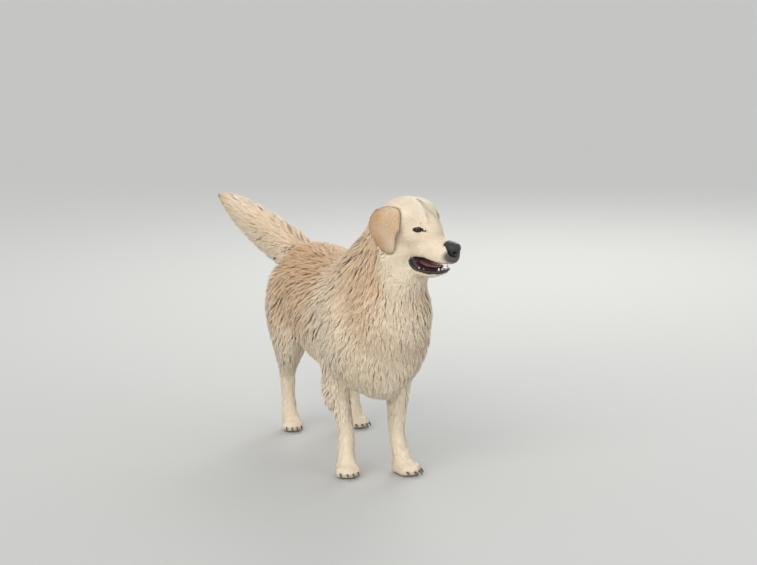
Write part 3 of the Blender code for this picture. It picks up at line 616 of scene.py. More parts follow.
lidded = hide_points.copy()
for side in SIDES:
    out = lidded - np.array(eye_middles[side])
    away = np.linalg.norm(out, axis=1)
    angle = np.degrees(np.arccos(np.clip(out @ np.array(lid_frames[side][2]) / away, -1, 1)))
    free = np.maximum(step(*LID_FREE, angle), step(*LID_REACH, away))
    reach = np.maximum(LID + (away - LID) * free, LID)
    wrapped = (away < 0.034) & (angle < 100)
    lidded[wrapped] += (out * (reach / away - 1)[:, None])[wrapped]
points += lidded - hide_points
hide_points = lidded
place_points(hide.data, hide_points)
uvs = listed(hide.data.uv_layers["OFBake"].data, "uv", 2, np.float32)
hide_uvs = uvs.reshape(-1, 3, 2)      # the unwrap, by face and corner
skin = bmesh.new()
skin.from_mesh(hide.data)


def faces_near(side, degrees):
    """The skin's faces in front of an eye, within an angle of the opening's middle."""
    found = []
    for face in skin.faces:
        out = face.calc_center_median() - eye_middles[side]
        if out.length < 0.030 and out.angle(lid_frames[side][2]) < math.radians(degrees):
            found.append(face)
    return found


lid_edges = []
for side, middle in eye_middles.items():
    for place, out in lid_planes[side]:
        faces = faces_near(side, 76)
        part = dict.fromkeys([e for f in faces for e in f.edges] + [v for f in faces for v in f.verts])
        bmesh.ops.bisect_plane(skin, geom=[*part, *faces], plane_co=place, plane_no=out, dist=1e-6)
    opening = [face for face in faces_near(side, 68) if in_opening(side, face.calc_center_median())]
    cut = set(opening)
    rim = [edge for edge in skin.edges if sum(face in cut for face in edge.link_faces) == 1]
    bmesh.ops.delete(skin, geom=opening, context="FACES")
    rim = [edge for edge in rim if edge.is_valid]
    lid_edges += [edge.verts[0].co.copy() for edge in rim]
    for vertex in bmesh.ops.extrude_edge_only(skin, edges=rim)["geom"]:
        if isinstance(vertex, bmesh.types.BMVert):
            vertex.co = middle + (vertex.co - middle).normalized() * (EYE_BALL + RIM_GAP)
bmesh.ops.triangulate(skin, faces=skin.faces)
rim_tree = tree_of(lid_edges)


def lid_black(point):
    """1 on the black rim of an eye and 0 outside it."""
    point = Vector(point)
    away = rim_tree.find(point)[2]
    if away > RIM_FAR:
        return 0.0
    side = min(SIDES, key=lambda side: (point - eye_middles[side]).length)
    if in_opening(side, point):
        return 1.0
    outward = (point - eye_middles[side]).normalized().dot(lid_frames[side][0])
    wide = LID_RIM * (1 + 0.9 * max(outward, 0) ** 2)
    return 1 - float(step(wide * 0.8, wide * 1.2, away))


# ---- marks of the skin --------------------------------------------------------------------------------
# Bare skin has no hair: the dark lining of the mouth, black lips, the rims of the eyes and the pads of
# the feet. Short sooty hair lies below the nose, and in a spot over each eye.
# How far back, then how low the black of the lower lip ends, and how wide half the jaw is:
LIP_LINE = ((-0.100, -0.090), (-0.080, -0.096), (-0.073, -0.102), (-0.045, -0.1095), (-0.016, -0.1125))
LIP_LINE += ((0.002, -0.105), (0.010, -0.096), (0.016, -0.086))
JAW_HALF = ((-0.078, 0.010), (-0.070, 0.021), (-0.062, 0.0256), (-0.046, 0.0305), (-0.030, 0.034))
JAW_HALF += ((0.012, 0.043),)
# Bare corners of the mouth, as a place on the dog's left and radii:
CORNERS = (((0.033, -0.005, -0.090), (0.012, 0.012, 0.017)), ((0.0385, 0.006, -0.085), (0.0075, 0.008, 0.014)))
SPOT = (0.031, -0.005, 0.021)


def to_one_side(points):
    """Points in the head's axes, with those on the dog's right mirrored to its left."""
    return np.abs(points) * (1, 0, 0) + points * (0, 1, 1)


outer_tree = BVHTree.FromPolygons(points.tolist(), triangles.tolist())
mouth_near = apart(head_points, (0, -0.035, -0.085), (0.056, 0.085, 0.034))
mouth = np.zeros(len(points))
for k in np.nonzero(mouth_near < 1)[0]:
    out = Vector(outline_normals[k])
    hit = outer_tree.ray_cast(Vector(points[k]) + out * 0.002, out, 0.045)
    mouth[k] = hit[0] is not None
mouth = relaxed(mouth[:, None], edges, 4)[:, 0]
jaw = relaxed((part_of == FLESH.index("lower_jaw")).astype(float)[:, None], edges, 2)[:, 0]
jaw[body_count:] = 0
lip_depth = np.interp(head_points[:, 1], *zip(*LIP_LINE))
on_lip = step(-0.0020, 0.0020, head_points[:, 2] - lip_depth) * step(0.3, 0.6, jaw)
on_lip *= 1 - step(0.012, 0.020, head_points[:, 1])
jaw_half = np.interp(head_points[:, 1], *zip(*JAW_HALF)) - 0.006
within = 1 - step(-0.003, 0.001, abs(head_points[:, 0]) - jaw_half)
within *= step(-0.104, -0.100, head_points[:, 2]) * (1 - step(-0.077, -0.073, head_points[:, 2]))
mouth = np.maximum(mouth, within * (1 - step(0.012, 0.018, head_points[:, 1])))
for middle, radii in CORNERS:
    mouth = np.maximum(mouth, 1 - step(0.8, 1.1, apart(to_one_side(head_points), middle, radii)))
black = np.maximum(on_lip, step(0.06, 0.25, mouth))
smudge = 1 - step(0.60, 1.40, apart(head_points, (0, -0.100, -0.044), (0.037, 0.026, 0.020)))
smudge = np.maximum(smudge, 0.75 * (1 - step(0.001, 0.0045, apart(to_one_side(head_points), SPOT))))
black = np.maximum(black, 1 - step(0.0015, 0.0035, points[:, 2]))
black = np.maximum(black, [lid_black(point) for point in hide_points])
skin.to_mesh(hide.data)
skin.free()
shaded(hide.data)
hide_tree = tree_of(hide_points)
skin_points = points_of(hide.data)
nearest = np.array([hide_tree.find(place)[1] for place in skin_points])
skin_black = np.maximum(black[nearest], [lid_black(place) for place in skin_points])


def noted(mesh, key, values):
    """A number for each vertex of a mesh, that its material reads."""
    mesh.attributes.new(key, "FLOAT", "POINT").data.foreach_set("value", values.astype(np.float32).ravel())


skin_marks = {"gold_and_shade": gold_and_shade[nearest], "mouth": mouth[nearest], "black": skin_black, "smudge": smudge[nearest]}
for key, values in skin_marks.items():
    noted(hide.data, key, values)


# ---- finish of the hide -------------------------------------------------------------------------------
# Short dense under-hair, cream to gold as charted, over skin that is black where it is bare and dark
# pink inside the mouth.
class Socket:
    """A value in a material, that sums with others as plain numbers and colours do."""

    def __init__(self, tree, socket, kind="value"):
        self.tree, self.socket, self.kind = tree, socket, kind

    def into(self, socket):
        """This value, as an input of another node."""
        self.tree.links.new(self.socket, socket)

    def node(self, kind, inputs=(), output=0, result="value", **settings):
        """Any other node, with its settings and its inputs by name or number, as one of its outputs."""
        made = self.tree.nodes.new(kind)
        for key, value in settings.items():
            setattr(made, key, value)
        for key, value in dict(inputs).items():
            socket = made.inputs[key]
            if isinstance(value, Socket):
                value.into(socket)
            else:
                socket.default_value = (*value, 1) if socket.type == "RGBA" else value
        return Socket(self.tree, made.outputs[output], result)

    def worked(self, operation, first, second):
        pair = (first, second)
        vector = any(isinstance(v, tuple) or getattr(v, "kind", "") == "vector" for v in pair)
        kind = "ShaderNodeVectorMath" if vector else "ShaderNodeMath"
        first, second = ((v,) * 3 if vector and isinstance(v, (int, float)) else v for v in pair)
        result = "vector" if vector else "value"
        return self.node(kind, {0: first, 1: second}, result=result, operation=operation)

    def __add__(self, other):
        return self.worked("ADD", self, other)

    def __sub__(self, other):
        return self.worked("SUBTRACT", self, other)

    def __rsub__(self, other):
        return self.worked("SUBTRACT", other, self)

    def __mul__(self, other):
        return self.worked("MULTIPLY", self, other)

    __radd__, __rmul__ = __add__, __mul__

    def ramp(self, low, high):
        """0 below low and 1 above high."""
        inputs = {"Value": self, "From Min": low, "From Max": high}
        return self.node("ShaderNodeMapRange", inputs, interpolation_type="SMOOTHSTEP")

    def mix(self, first, second):
        """The first colour where this is 0, the second where it is 1."""
        inputs = {"Factor": self, 6: first, 7: second}
        return self.node("ShaderNodeMix", inputs, output=2, result="vector", data_type="RGBA")

    def noise(self, scale, detail=2):
        return self.node("ShaderNodeTexNoise", {"Vector": self, "Scale": scale, "Detail": detail})

    def bump(self, depth):
        """This height, in metres times depth, as a normal."""
        return self.node("ShaderNodeBump", {"Height": self, "Distance": depth}, result="vector")


def material_of(name, roughness, coat=0.0):
    """A new material, its surface node, the place on the object and a reader of attributes."""
    made = bpy.data.materials.new(name)
    made.use_nodes = True
    surface = made.node_tree.nodes["Principled BSDF"]
    surface.inputs["Roughness"].default_value = roughness
    surface.inputs["Coat Weight"].default_value = coat
    surface.inputs["Coat Roughness"].default_value = 0.08
    place = Socket(made.node_tree, None).node("ShaderNodeTexCoord", output="Object", result="vector")

    def attribute(key):
        return place.node("ShaderNodeAttribute", output="Fac", attribute_name=key)

    return made, surface, place, attribute


CREAM = (0.86, 0.735, 0.565)
GOLD = (0.58, 0.36, 0.19)
SOOT = (0.055, 0.048, 0.050)
LEATHER = (0.009, 0.008, 0.009)
FLESH_PINK = (0.055, 0.017, 0.022)


def coat_colour(place, gold_and_shade_share, smudge):
    """Cream to gold as charted, with painted shade in the forehead's creases, in soft patches, and sooty where
    it is smudged.
    """
    patches = place.noise(9.0, 3) - 0.5
    shade = (gold_and_shade_share + patches * 0.45).ramp(-0.02, 0.92).mix(CREAM, GOLD)
    sooty = (smudge + (place.noise(260.0, 2) - 0.5) * 0.6 * smudge).ramp(0.10, 0.95) * 0.94
    return sooty.mix(shade, SOOT)


hide_material, surface, place, attribute = material_of("hide", 0.65)
# Painted shade: the under-hair is painted darker than the coat, for the depth beneath the locks.
shade = coat_colour(place, attribute("gold_and_shade"), attribute("smudge")) * 0.86
shade = shade * (1 + (place.noise(900.0, 1) - 0.5) * 0.25)
bare_skin = attribute("black").ramp(0.25, 0.6)
shade = bare_skin.mix(shade, LEATHER)
shade = attribute("mouth").ramp(0.55, 0.85).mix(shade, FLESH_PINK)
surface.inputs["Coat Roughness"].default_value = 0.12
shade.into(surface.inputs["Base Color"])
(0.65 - 0.20 * bare_skin).into(surface.inputs["Roughness"])
(attribute("mouth").ramp(0.1, 0.5) * 0.8).into(surface.inputs["Coat Weight"])
(place.noise(1400.0, 2) * (1 - bare_skin * 0.8)).bump(0.0004).into(surface.inputs["Normal"])
hide.data.materials.clear()
hide.data.materials.append(hide_material)
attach(hide, "root")
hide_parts(*FLESH, "ear_left", "ear_right")

# ---- eyes ---------------------------------------------------------------------------------------------
# Wet dark-brown eyes: a ball with a clear bulge over the iris, turned outward in the skull.
PUPIL, IRIS, BULGE = (13.0, 14.5), (38.0, 42.0), (20, 40)     # where they end, in degrees off the gaze
BULGE_HIGH = 0.0005
eye_material, surface, place, attribute = material_of("eye", 0.15, coat=0.8)
surface.inputs["Coat Roughness"].default_value = 0.02
surface.inputs["Specular IOR Level"].default_value = 0.2
off_gaze = attribute("off_gaze")
iris = off_gaze.ramp(10.0, 34.0).mix((0.050, 0.018, 0.006), (0.012, 0.005, 0.003))
ball_colour = off_gaze.ramp(*IRIS).mix(iris, (0.016, 0.011, 0.010))
ball_colour = off_gaze.ramp(*PUPIL).mix((0.002, 0.002, 0.002), ball_colour)
ball_colour.into(surface.inputs["Base Color"])
for side, middle in eye_middles.items():
    gaze = lid_frames[side][2]
    seat = Matrix.Translation(middle) @ gaze.to_track_quat("Z", "Y").to_matrix().to_4x4()
    ball = bmesh.new()
    bmesh.ops.create_uvsphere(ball, u_segments=48, v_segments=48, radius=EYE_BALL, matrix=seat)
    off_gaze_layer = ball.verts.layers.float.new("off_gaze")
    for vertex in ball.verts:
        out = vertex.co - middle
        vertex[off_gaze_layer] = math.degrees(out.angle(gaze))
        bulge = 1 - float(step(*BULGE, vertex[off_gaze_layer]))
        vertex.co += out.normalized() * (BULGE_HIGH * bulge)
    eye = object_of(f"eyeball_{side}", ball)
    eye.data.materials.append(eye_material)
    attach(eye, "root")
    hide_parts(f"eye_{side}")

# ---- nose ---------------------------------------------------------------------------------------------
# Black pebbled leather, moist, with two comma-shaped nostrils and a groove down its middle.
NOSTRIL, NOSTRIL_SIZE = (0.0100, -0.107, -0.034), (0.0050, 0.014, 0.0048)
NOSTRIL_SLIT = ((0.0110, -0.107, -0.036), (0.0160, -0.102, -0.0395), (0.0205, -0.093, -0.0375))
NOSE_VOXEL = 0.0010
nose = remeshed(object_of("nose_leather", welded("nose", 0)), NOSE_VOXEL)
local = in_head(eased(nose, 10, 0.7))
hole = apart(to_one_side(local), NOSTRIL, NOSTRIL_SIZE)
slit = from_line(to_one_side(local), NOSTRIL_SLIT)
groove = np.hypot(local[:, 0] / 0.0014, np.maximum(0, local[:, 2] + 0.030) / 0.006)
sunk = 0.0085 * (1 - step(0.55, 1.05, hole))
sunk = np.maximum(sunk, 0.0034 * (1 - step(0.0008, 0.0026, slit)))
sunk = np.maximum(sunk, 0.0016 * np.exp(-groove ** 2) * step(-0.090, -0.100, local[:, 1]))
local[:, 1] += sunk * 0.9
local[:, 0] -= np.sign(local[:, 0]) * sunk * 0.25
place_points(nose.data, relaxed(from_head(local), edges_of(nose.data), 1, share=0.5))
# How deep the leather is sunk, which its material reads to paint shade in the hollows.
noted(nose.data, "sunk", sunk * 200)
shaded(nose.data)
nose_material, surface, place, attribute = material_of("nose_leather", 0.42, coat=0.12)
surface.inputs["Coat Roughness"].default_value = 0.25
pebbles = place.node("ShaderNodeTexVoronoi", {"Vector": place, "Scale": 900.0}, feature="SMOOTH_F1")
# Painted shade: the leather is painted darker where it is sunk, in the nostrils, their slits and the groove.
leather = attribute("sunk").ramp(0.1, 1.2).mix((0.013, 0.012, 0.013), (0.003, 0.003, 0.003))
leather.into(surface.inputs["Base Color"])
(1 - pebbles).bump(0.0007).into(surface.inputs["Normal"])
nose.data.materials.append(nose_material)
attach(nose, "root")
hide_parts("nose")

# ---- lips ---------------------------------------------------------------------------------------------
# The rolled edges of the lips, black and wet: a thick crinkled one along the jaw, which turns up round
# the corner of the mouth, and a thin one along the flews.
LOWER_LIP = (
    (0.0375, 0.015, -0.078, 0.0026), (0.041, 0.014, -0.088, 0.0044), (0.041, 0.007, -0.098, 0.005),
    (0.0385, -0.003, -0.103, 0.005), (0.0365, -0.014, -0.104, 0.0044), (0.034, -0.028, -0.103, 0.004),
    (0.031, -0.043, -0.101, 0.0038), (0.0265, -0.058, -0.098, 0.0034), (0.019, -0.07, -0.095, 0.003),
    (0.008, -0.078, -0.092, 0.0027), (0, -0.08, -0.091, 0.0026),
)
UPPER_LIP = (
    (0.037, 0.014, -0.079, 0.0026), (0.038, 0.002, -0.076, 0.0024), (0.038, -0.014, -0.073, 0.002),
    (0.037, -0.03, -0.071, 0.0018), (0.036, -0.046, -0.071, 0.0015), (0.034, -0.062, -0.071, 0.0013),
    (0.029, -0.078, -0.071, 0.0012), (0.019, -0.09, -0.069, 0.0012), (0, -0.096, -0.067, 0.0012),
)
LIP_STEPS = 150
skin_tree = BVHTree.FromPolygons(skin_points.tolist(), [face.vertices[:] for face in hide.data.polygons])


def lip(name, stations, crinkle):
    """A roll of skin seated on the hide along stations of place and radius, from one side to the other."""
    half = np.array(stations)
    whole_lip = np.vstack([half, half[-2::-1] * (-1, 1, 1, 1)])
    reach = np.cumsum(np.linalg.norm(np.diff(whole_lip[:, :3], axis=0, prepend=whole_lip[:1, :3]), axis=1))
    spots = np.linspace(0, reach[-1], LIP_STEPS)
    smooth = np.stack([np.interp(spots, reach, column) for column in whole_lip.T], 1)
    run = np.stack([np.arange(LIP_STEPS - 1), np.arange(1, LIP_STEPS)], 1)
    smooth = relaxed(smooth, run, 6)
    seated = np.array([skin_tree.find_nearest(Vector(place))[0] for place in from_head(smooth[:, :3])])
    seated = relaxed(seated, run, 4)
    roll = bmesh.new()
    rings = []
    for k, place in enumerate(seated):
        way = Vector(seated[min(k + 1, LIP_STEPS - 1)] - seated[max(k - 1, 0)])
        seat = Matrix.Translation(place) @ way.to_track_quat("Z", "Y").to_matrix().to_4x4()
        bulge = crinkle * (noise.noise(Vector((k * 0.55, 3, 0))) + 0.5 * noise.noise(Vector((k * 1.3, 9, 0))))
        radius = smooth[k, 3] * (1 + bulge)
        ring = bmesh.ops.create_circle(roll, segments=12, radius=radius, matrix=seat)["verts"]
        rings.append(list(dict.fromkeys(edge for vertex in ring for edge in vertex.link_edges)))
    for first, second in zip(rings, rings[1:]):
        bmesh.ops.bridge_loops(roll, edges=first + second)
    for ring in (rings[0], rings[-1]):
        bmesh.ops.edgeloop_fill(roll, edges=ring)
    made = object_of(name, roll)
    made.data.materials.append(lip_material)
    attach(made, "root")
    return made


lip_material, surface, place, attribute = material_of("lip", 0.40, coat=0.45)
folds = place.noise(520.0, 3)
lip_black = folds.ramp(0.40, 0.75).mix((0.006, 0.005, 0.006), (0.020, 0.014, 0.017))
lip_black.into(surface.inputs["Base Color"])
folds.bump(0.0010).into(surface.inputs["Normal"])
lip("lip_lower", LOWER_LIP, 0.35)
lip("lip_upper", UPPER_LIP, 0.12)

# ---- teeth --------------------------------------------------------------------------------------------
# Ivory-white crowns in the jaws: small cutting teeth in front, a long fang each side, then cheek teeth.
# Each tooth is a place in the head's axes, a radius and how far its crown stands, down in the upper jaw.
TOOTH_NARROW, TOOTH_BACK = 0.55, 0.12      # how much thinner a tip is, and how far it curves back
lower_teeth = [((k - 2.5) * 0.0044, -0.074 + abs(k - 2.5) * 0.0013, -0.092, 0.0021, 0.0060) for k in range(6)]
upper_teeth = [((k - 2.5) * 0.0050, -0.085 + abs(k - 2.5) * 0.0014, -0.066, 0.0023, -0.0085) for k in range(6)]
for sign in SIDES.values():
    lower_teeth.append((0.0165 * sign, -0.065, -0.094, 0.0030, 0.0095))
    upper_teeth.append((0.0205 * sign, -0.072, -0.064, 0.0032, -0.0130))
    for k in range(4):
        height = 0.0062 + 0.0012 * (k % 2)
        lower_teeth.append(((0.0210 + 0.003 * k) * sign, -0.050 + 0.013 * k, -0.1055, 0.0030, height))
    for k in range(3):
        upper_teeth.append(((0.0240 + 0.003 * k) * sign, -0.052 + 0.014 * k, -0.062, 0.0034, -0.0090))
crowns = bmesh.new()
for x, y, z, radius, height in lower_teeth + upper_teeth:
    for vertex in bmesh.ops.create_uvsphere(crowns, u_segments=14, v_segments=10, radius=1)["verts"]:
        crown = max(vertex.co.z, 0)
        narrow = 1 - TOOTH_NARROW * crown ** 2
        vertex.co = HEAD @ Vector((
            x + vertex.co.x * radius * narrow * 0.8,
            y + vertex.co.y * radius * narrow + TOOTH_BACK * abs(height) * crown ** 2,
            z + vertex.co.z * height * (0.85 if vertex.co.z > 0 else 0.3),
        ))
teeth = object_of("teeth", crowns)
teeth_material, surface, place, attribute = material_of("teeth", 0.25, coat=0.6)
ivory = place.noise(300.0, 2).ramp(0.3, 0.7).mix((0.72, 0.66, 0.52), (0.82, 0.79, 0.70))
ivory.into(surface.inputs["Base Color"])
teeth.data.materials.append(teeth_material)
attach(teeth, "root")

# ---- tongue -------------------------------------------------------------------------------------------
# Soft wet muscle, dusky pink, in the floor of the mouth, with a groove along its middle.
TONGUE_GROWN, TONGUE_VOXEL = 0.0006, 0.0014
TONGUE_GROOVE, TONGUE_BUMPS = 0.0022, 0.0008
tongue = remeshed(object_of("tongue_flesh", welded("tongue", TONGUE_GROWN)), TONGUE_VOXEL)
local = in_head(eased(tongue, 8, 0.7))
on_top = step(-0.098, -0.090, local[:, 2])
local[:, 2] -= TONGUE_GROOVE * np.exp(-(local[:, 0] / TONGUE_GROOVE) ** 2) * on_top
local[:, 2] += TONGUE_BUMPS * on_top * np.array([noise.noise(Vector(place) * 260) for place in local])
place_points(tongue.data, from_head(local))
shaded(tongue.data)
tongue_material, surface, place, attribute = material_of("tongue", 0.30, coat=0.7)
dusky = place.noise(160.0, 3).ramp(0.3, 0.7).mix((0.15, 0.045, 0.060), (0.25, 0.085, 0.100))
dusky.into(surface.inputs["Base Color"])
place.noise(1500.0, 2).bump(0.0009).into(surface.inputs["Normal"])
tongue.data.materials.append(tongue_material)
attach(tongue, "root")
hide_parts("tongue")

# ---- claws --------------------------------------------------------------------------------------------
# Grey-brown horn, worn blunt, four on each foot, growing from the ends of the toes.
claw_material, surface, place, attribute = material_of("claw", 0.38, coat=0.2)
horn = place.noise(260.0, 3).ramp(0.3, 0.75).mix((0.060, 0.045, 0.036), (0.16, 0.125, 0.10))
horn.into(surface.inputs["Base Color"])
for name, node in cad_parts.items():
    if name.startswith("claw_"):
        node.data.materials.clear()
        node.data.materials.append(claw_material)

# ---- coat ---------------------------------------------------------------------------------------------
# Guard hair in thin locks, each a few flat tapering tufts grown together from the hide. A lock leaves the
# hide under the outline, follows the lie of the coat and comes out at the outline at its tips.
TRIES = 5                 # places drawn for each lock, so that the locks spread evenly
SPINE_STEPS = 6           # steps in which a lock follows the outline
HELD_STEPS = 3            # steps in which it keeps to the outline, before its tip is loose
WAVE_LENGTH = 0.0062      # length of hair to a radian of its wave
WAVE_ASIDE, WAVE_UP = 0.0046, 0.0012
TUFT_RIDGE = 0.3          # height of a tuft's ridge, to half its width
TUFT_ROUND = 0.35         # how far the sides of a tuft are shaded as turned away from its ridge
TUFT_PATCH = 0.003        # side of a tuft's patch in the UV map
face_points = points[triangles]
face_edges = face_points[:, 1:] - face_points[:, :1]
areas = np.linalg.norm(np.cross(face_edges[:, 0], face_edges[:, 1]), axis=1) / 2
on_ear = triangles[:, 0] >= body_count
surfaces = {}
for name, chosen in (("body", ~on_ear), ("ears", on_ear)):
    numbers = np.nonzero(chosen)[0]
    surfaces[name] = BVHTree.FromPolygons(points.tolist(), triangles[numbers].tolist()), numbers
lie_of_face = unit(lie[triangles].mean(1))
out_of_face = unit(outline_normals[triangles].mean(1))
under = -outline_normals * np.maximum(((points - hide_points) * outline_normals).sum(1), 0)[:, None]
under += share_of["tail"][:, None] * (hide_points - points - under)
wave_phase = np.array([noise.noise(Vector(point) * 14) for point in points]) * 6 + points[:, 2] * 160


def at_roots(values, faces, shares):
    """Values of the outline's vertices at places inside its faces."""
    corner = values[triangles[faces]]
    return (corner * (shares if values.ndim == 1 else shares[..., None])).sum(1)


def rooted(rng, numbers, pull, locks):
    """Faces for the roots of locks and places in them, spread evenly by how much each face pulls."""
    faces = rng.choice(numbers, locks * TRIES, p=pull / pull.sum())
    shares = rng.dirichlet((1, 1, 1), locks * TRIES)
    cells = np.floor(at_roots(points, faces, shares) / math.sqrt(pull.sum() / locks)).astype(int)
    first = np.unique(cells, axis=0, return_index=True)[1]
    others = rng.permutation(np.setdiff1d(np.arange(locks * TRIES), first))
    chosen = np.concatenate([rng.permutation(first), others])[:locks]
    return faces[chosen], shares[chosen]


def followed(surface, place, out, way, length, loose):
    """Spines that follow the coat's lie over the outline from each place, and the way out of the coat."""
    tree, numbers = surfaces[surface]
    spine, outward = [place], [out]
    for k in range(SPINE_STEPS):
        ahead = spine[k] + way * (length / SPINE_STEPS)[:, None]
        hits = [tree.find_nearest(spot) for spot in ahead]
        near, faces = np.array([hit[0] for hit in hits]), numbers[[hit[2] for hit in hits]]
        spine.append(near + (ahead - near) * (loose if k >= HELD_STEPS else 0))
        outward.append(out_of_face[faces])
        way = way + lie_of_face[faces]
        way = unit(way - outward[-1] * (way * outward[-1]).sum(1, keepdims=True))
    return np.array(spine), np.array(outward)


def tuft_mesh(name, tufts, rings):
    """Three-sided tapering tufts as a mesh, and the vertices at the corners of its faces."""
    tip = rings * 3
    pattern = [(0, 1, 2), (tip - 3, tip, tip - 2), (tip - 2, tip, tip - 1), (tip - 1, tip, tip - 3)]
    for a in range(tip - 3):
        b = a + 1 if a % 3 < 2 else a - 2
        pattern += [(a, a + 3, b), (b, a + 3, b + 3)]
    starts = np.arange(len(tufts)) * (tip + 1)
    corners = (starts[:, None, None] + np.array(pattern)[:, ::-1]).reshape(-1)
    mesh = bpy.data.meshes.new(name)
    mesh.vertices.add(len(tufts) * (tip + 1))
    mesh.vertices.foreach_set("co", tufts.astype(np.float32).ravel())
    mesh.loops.add(len(corners))
    mesh.loops.foreach_set("vertex_index", corners.astype(np.int32))
    mesh.polygons.add(len(corners) // 3)
    mesh.polygons.foreach_set("loop_start", np.arange(0, len(corners), 3, dtype=np.int32))
    shaded(mesh)
    return mesh, corners


def grown(name, weight, locks, hairs, rings, clump, spread, seed, loose=0.4, surface="body"):
    """A piece of coat: locks spread over the outline by weight, each of some hairs, loose at the tips."""
    rng = np.random.default_rng(seed)
    numbers = surfaces[surface][1]
    faces, shares = rooted(rng, numbers, areas[numbers] * weight[triangles[numbers]].mean(1), locks)
    lock = np.repeat(np.arange(locks), hairs)
    count = len(lock)

    def at(values):
        return at_roots(values, faces, shares)

    way = unit(at(lie) + rng.normal(0, 0.07, (locks, 3)))
    length = at(hair_length) * rng.uniform(0.75, 1.15, locks)
    spine, outward = followed(surface, at(points), at(outline_normals), way, length, loose)
    width = at(lock_width)[lock]
    turn, away = rng.uniform(0, 2 * math.pi, count), np.sqrt(rng.random(count)) * (spread * width)
    ahead = unit(spine[1] - spine[0])
    aside = np.cross(outward[0], ahead)
    offset = (np.cos(turn) * away)[:, None] * aside[lock] + (np.sin(turn) * away)[:, None] * ahead[lock]
    span = rng.uniform(0.72, 1.0, count)
    lift = rng.uniform(0.15, 1.0, count)
    beneath = at(under)[lock]
    phase = at(wave_phase)[lock] + rng.normal(0, 0.5, locks)[lock]
    sway = at(wave)[lock] * rng.uniform(0.6, 1.3, locks)[lock]
    width = width * rng.uniform(0.75, 1.35, count)
    tufts = np.empty((count, rings * 3 + 1, 3))
    facing = np.empty_like(tufts)
    alongs = np.empty(tufts.shape[:2])
    for k, level in enumerate(np.linspace(0, 1, rings + 1) ** 0.9):
        u = level * span
        low = np.minimum((u * SPINE_STEPS).astype(int), SPINE_STEPS - 1)
        part = (u * SPINE_STEPS - low)[:, None]
        middle = spine[low, lock] * (1 - part) + spine[low + 1, lock] * part
        up = unit(outward[low, lock] * (1 - part) + outward[low + 1, lock] * part)
        side = unit(np.cross(up, unit(spine[low + 1, lock] - spine[low, lock])))
        rise = (1 - u) ** 1.4 + 0.20 * lift ** 2 * u * (1 - u * 0.6)
        middle += offset * (1 - clump * u ** 1.2)[:, None] + beneath * rise[:, None]
        swing = length[lock] * u / WAVE_LENGTH
        middle += side * (WAVE_ASIDE * sway * u * np.sin(phase + swing))[:, None]
        middle += up * (WAVE_UP * sway * u * np.sin(1.7 * phase + swing))[:, None]
        if k == rings:
            tufts[:, -1], facing[:, -1], alongs[:, -1] = middle, up, level
            break
        ring = slice(k * 3, k * 3 + 3)
        half = (width * (0.9 + 0.9 * level - 1.1 * level ** 2))[:, None] / 2
        ridge = middle + up * half * TUFT_RIDGE
        tufts[:, ring] = np.stack([middle - side * half, middle + side * half, ridge], 1)
        facing[:, ring] = np.stack([up - side * TUFT_ROUND, up + side * TUFT_ROUND, up], 1)
        alongs[:, ring] = level
    mesh, corners = tuft_mesh(name, tufts, rings)
    root = (hide_uvs[faces] * shares[..., None]).sum(1)[lock]
    across = np.broadcast_to([0, 1, 0.5] * rings + [0.5], alongs.shape)
    uvs = (root[:, None] + np.stack([across, alongs], -1) * TUFT_PATCH).reshape(-1, 2)[corners]
    mesh.uv_layers.new(name="OFBake").data.foreach_set("uv", uvs.astype(np.float32).ravel())
    tone = rng.normal(0, 0.6, locks)[lock] + rng.normal(0, 0.6, count)
    for key, values in (("gold_and_shade", at(gold_and_shade)[lock]), ("tone", tone), ("smudge", at(smudge)[lock])):
        noted(mesh, key, np.repeat(values, rings * 3 + 1))
    noted(mesh, "along", alongs)
    mesh.update()
    mesh.normals_split_custom_set_from_vertices(unit(facing).reshape(-1, 3))
    piece = new_object(name, mesh)
    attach(piece, "root")
    piece.data.materials.append(coat_material)
    return piece


coat_material, surface, place, attribute = material_of("coat", 0.55)
tone, along = attribute("tone"), attribute("along")
shade = coat_colour(place, attribute("gold_and_shade") + tone * 0.10 - along * 0.05, attribute("smudge"))
shade = shade * (0.90 + 0.10 * along) * (1 + tone * 0.045)
shade.into(surface.inputs["Base Color"])
bare = step(0.004, 0.010, points[:, 2])
trunk, head = share_of["trunk"], share_of["head"]
fore = share_of["fore_right"] + share_of["fore_left"]
hind = share_of["hind_right"] + share_of["hind_left"]
body_points = points - np.array(FEET)
front = 1 - step(-0.09, -0.02, body_points[:, 1] + 0.25 * (body_points[:, 2] - 0.40))
low = 1 - step(0.13, 0.20, points[:, 2])
to_left = step(-0.01, 0.01, body_points[:, 0])
near_face = 1 - step(0.085, 0.125, apart(in_head(points), (0, -0.03, -0.03)))
bare_face = bare * (1 - step(0.3, 0.8, black)) * (1 - step(0.1, 0.4, mouth))
under_ear = np.ones(len(points))
for k in np.nonzero(head > 0.3)[0]:
    near = surfaces["ears"][0].find_nearest(Vector(points[k]))
    under_ear[k] = float(step(0.001, 0.006, near[3]))
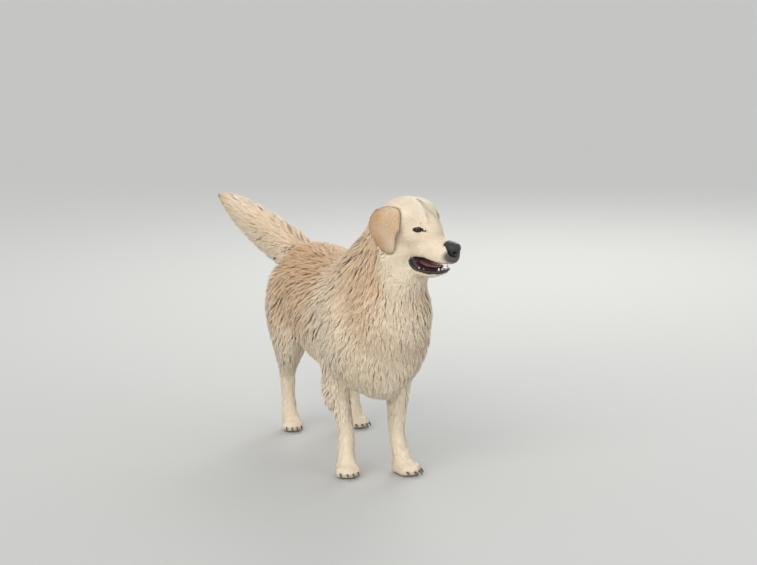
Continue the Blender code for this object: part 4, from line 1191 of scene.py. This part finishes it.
# Where each piece grows, then how many locks it has, hairs to a lock and rings to a hair, how far the
# hairs of a lock meet at its tip, how many lock widths its roots cover, and a number to draw by.
grown("coat_face", bare_face * head * near_face, 6000, 3, 2, 0.25, 2.0, 1, loose=0.2)
grown("coat_head", bare_face * head * (1 - near_face) * under_ear, 2600, 4, 2, 0.35, 1.8, 11)
grown("coat_ears", share_of["ears"], 2400, 4, 2, 0.3, 1.8, 2, loose=0.3, surface="ears")
grown("coat_neck", bare * share_of["neck"], 1700, 6, 3, 0.7, 3.0, 3, loose=0.5)
grown("coat_chest", bare * trunk * front, 1750, 6, 3, 0.8, 3.2, 4, loose=0.7)
grown("coat_side_right", bare * trunk * (1 - front) * (1 - to_left), 1800, 5, 3, 0.6, 2.8, 5)
grown("coat_side_left", bare * trunk * (1 - front) * to_left, 1800, 5, 3, 0.6, 2.8, 6)
grown("coat_tail", bare * share_of["tail"], 1200, 6, 3, 0.75, 2.8, 7, loose=0.9)
grown("coat_forelegs", bare * fore * (1 - low), 1500, 6, 3, 0.6, 2.4, 8, loose=0.7)
grown("coat_hindlegs", bare * hind * (1 - low), 1500, 6, 3, 0.6, 2.6, 9, loose=0.7)
grown("coat_feet", bare * (fore + hind) * low, 3200, 3, 2, 0.3, 1.6, 10, loose=0.2)

# ---- studio -------------------------------------------------------------------------------------------
# A plain pale floor, three soft lamps and a camera in front of the dog, a little above it.
CAMERA_PLACE, CAMERA_ASIDE = (0.0230, -5.4030, 1.6), -18     # from the feet, and the way there is turned
CAMERA_DOWN, CAMERA_ROLL, CAMERA_LENS = 11.1975, 1.5, 99.66
LAMPS_AIM = Vector((0, 0.15, 0.42))
sheet = bmesh.new()
bmesh.ops.create_grid(sheet, x_segments=1, y_segments=1, size=40)
floor = object_of("floor", sheet, smooth=False)
pale, surface, place, attribute = material_of("pale_floor", 0.9)
surface.inputs["Base Color"].default_value = (0.52, 0.52, 0.50, 1)
floor.data.materials.append(pale)

world = bpy.data.worlds.new("studio")
bpy.context.scene.world = world
world.use_nodes = True
sky = world.node_tree.nodes["Background"].inputs
sky["Color"].default_value, sky["Strength"].default_value = (0.93, 0.96, 1.0, 1), 0.84

camera_turn = Matrix.Rotation(math.radians(CAMERA_ASIDE), 4, "Z")
camera_data = bpy.data.cameras.new("camera")
camera_data.sensor_width = 36
camera_data.lens = CAMERA_LENS
camera = new_object("camera", camera_data)
camera.matrix_world = (
    Matrix.Translation(FEET)
    @ camera_turn
    @ Matrix.Translation(CAMERA_PLACE)
    @ Matrix.Rotation(math.radians(90 - CAMERA_DOWN), 4, "X")
    @ Matrix.Rotation(math.radians(-CAMERA_ROLL), 4, "Z")
)
bpy.context.scene.camera = camera


def lamp(name, kind, place, watts, colour, **settings):
    """A lamp at a place seen from the camera's side, aimed at the dog's middle."""
    data = bpy.data.lights.new(name, kind)
    data.energy = watts
    data.color = colour
    for key, value in settings.items():
        setattr(data, key, value)
    made = new_object(name, data)
    spot = FEET + camera_turn @ Vector(place)
    aim = FEET + LAMPS_AIM - spot
    made.matrix_world = Matrix.Translation(spot) @ aim.to_track_quat("-Z", "Y").to_matrix().to_4x4()


lamp("key", "SUN", (-1.9, -3.8, 2.6), 1.7, (1.0, 0.94, 0.85), angle=math.radians(60))
lamp("fill", "AREA", (3.2, -2.2, 1.6), 26, (0.93, 0.96, 1.0), size=2.4)
lamp("back", "AREA", (0.8, 3.4, 2.6), 50, (1.0, 0.98, 0.95), size=1.8)
bpy.context.scene.view_settings.view_transform = "Standard"

bpy.data.objects.remove(outline)
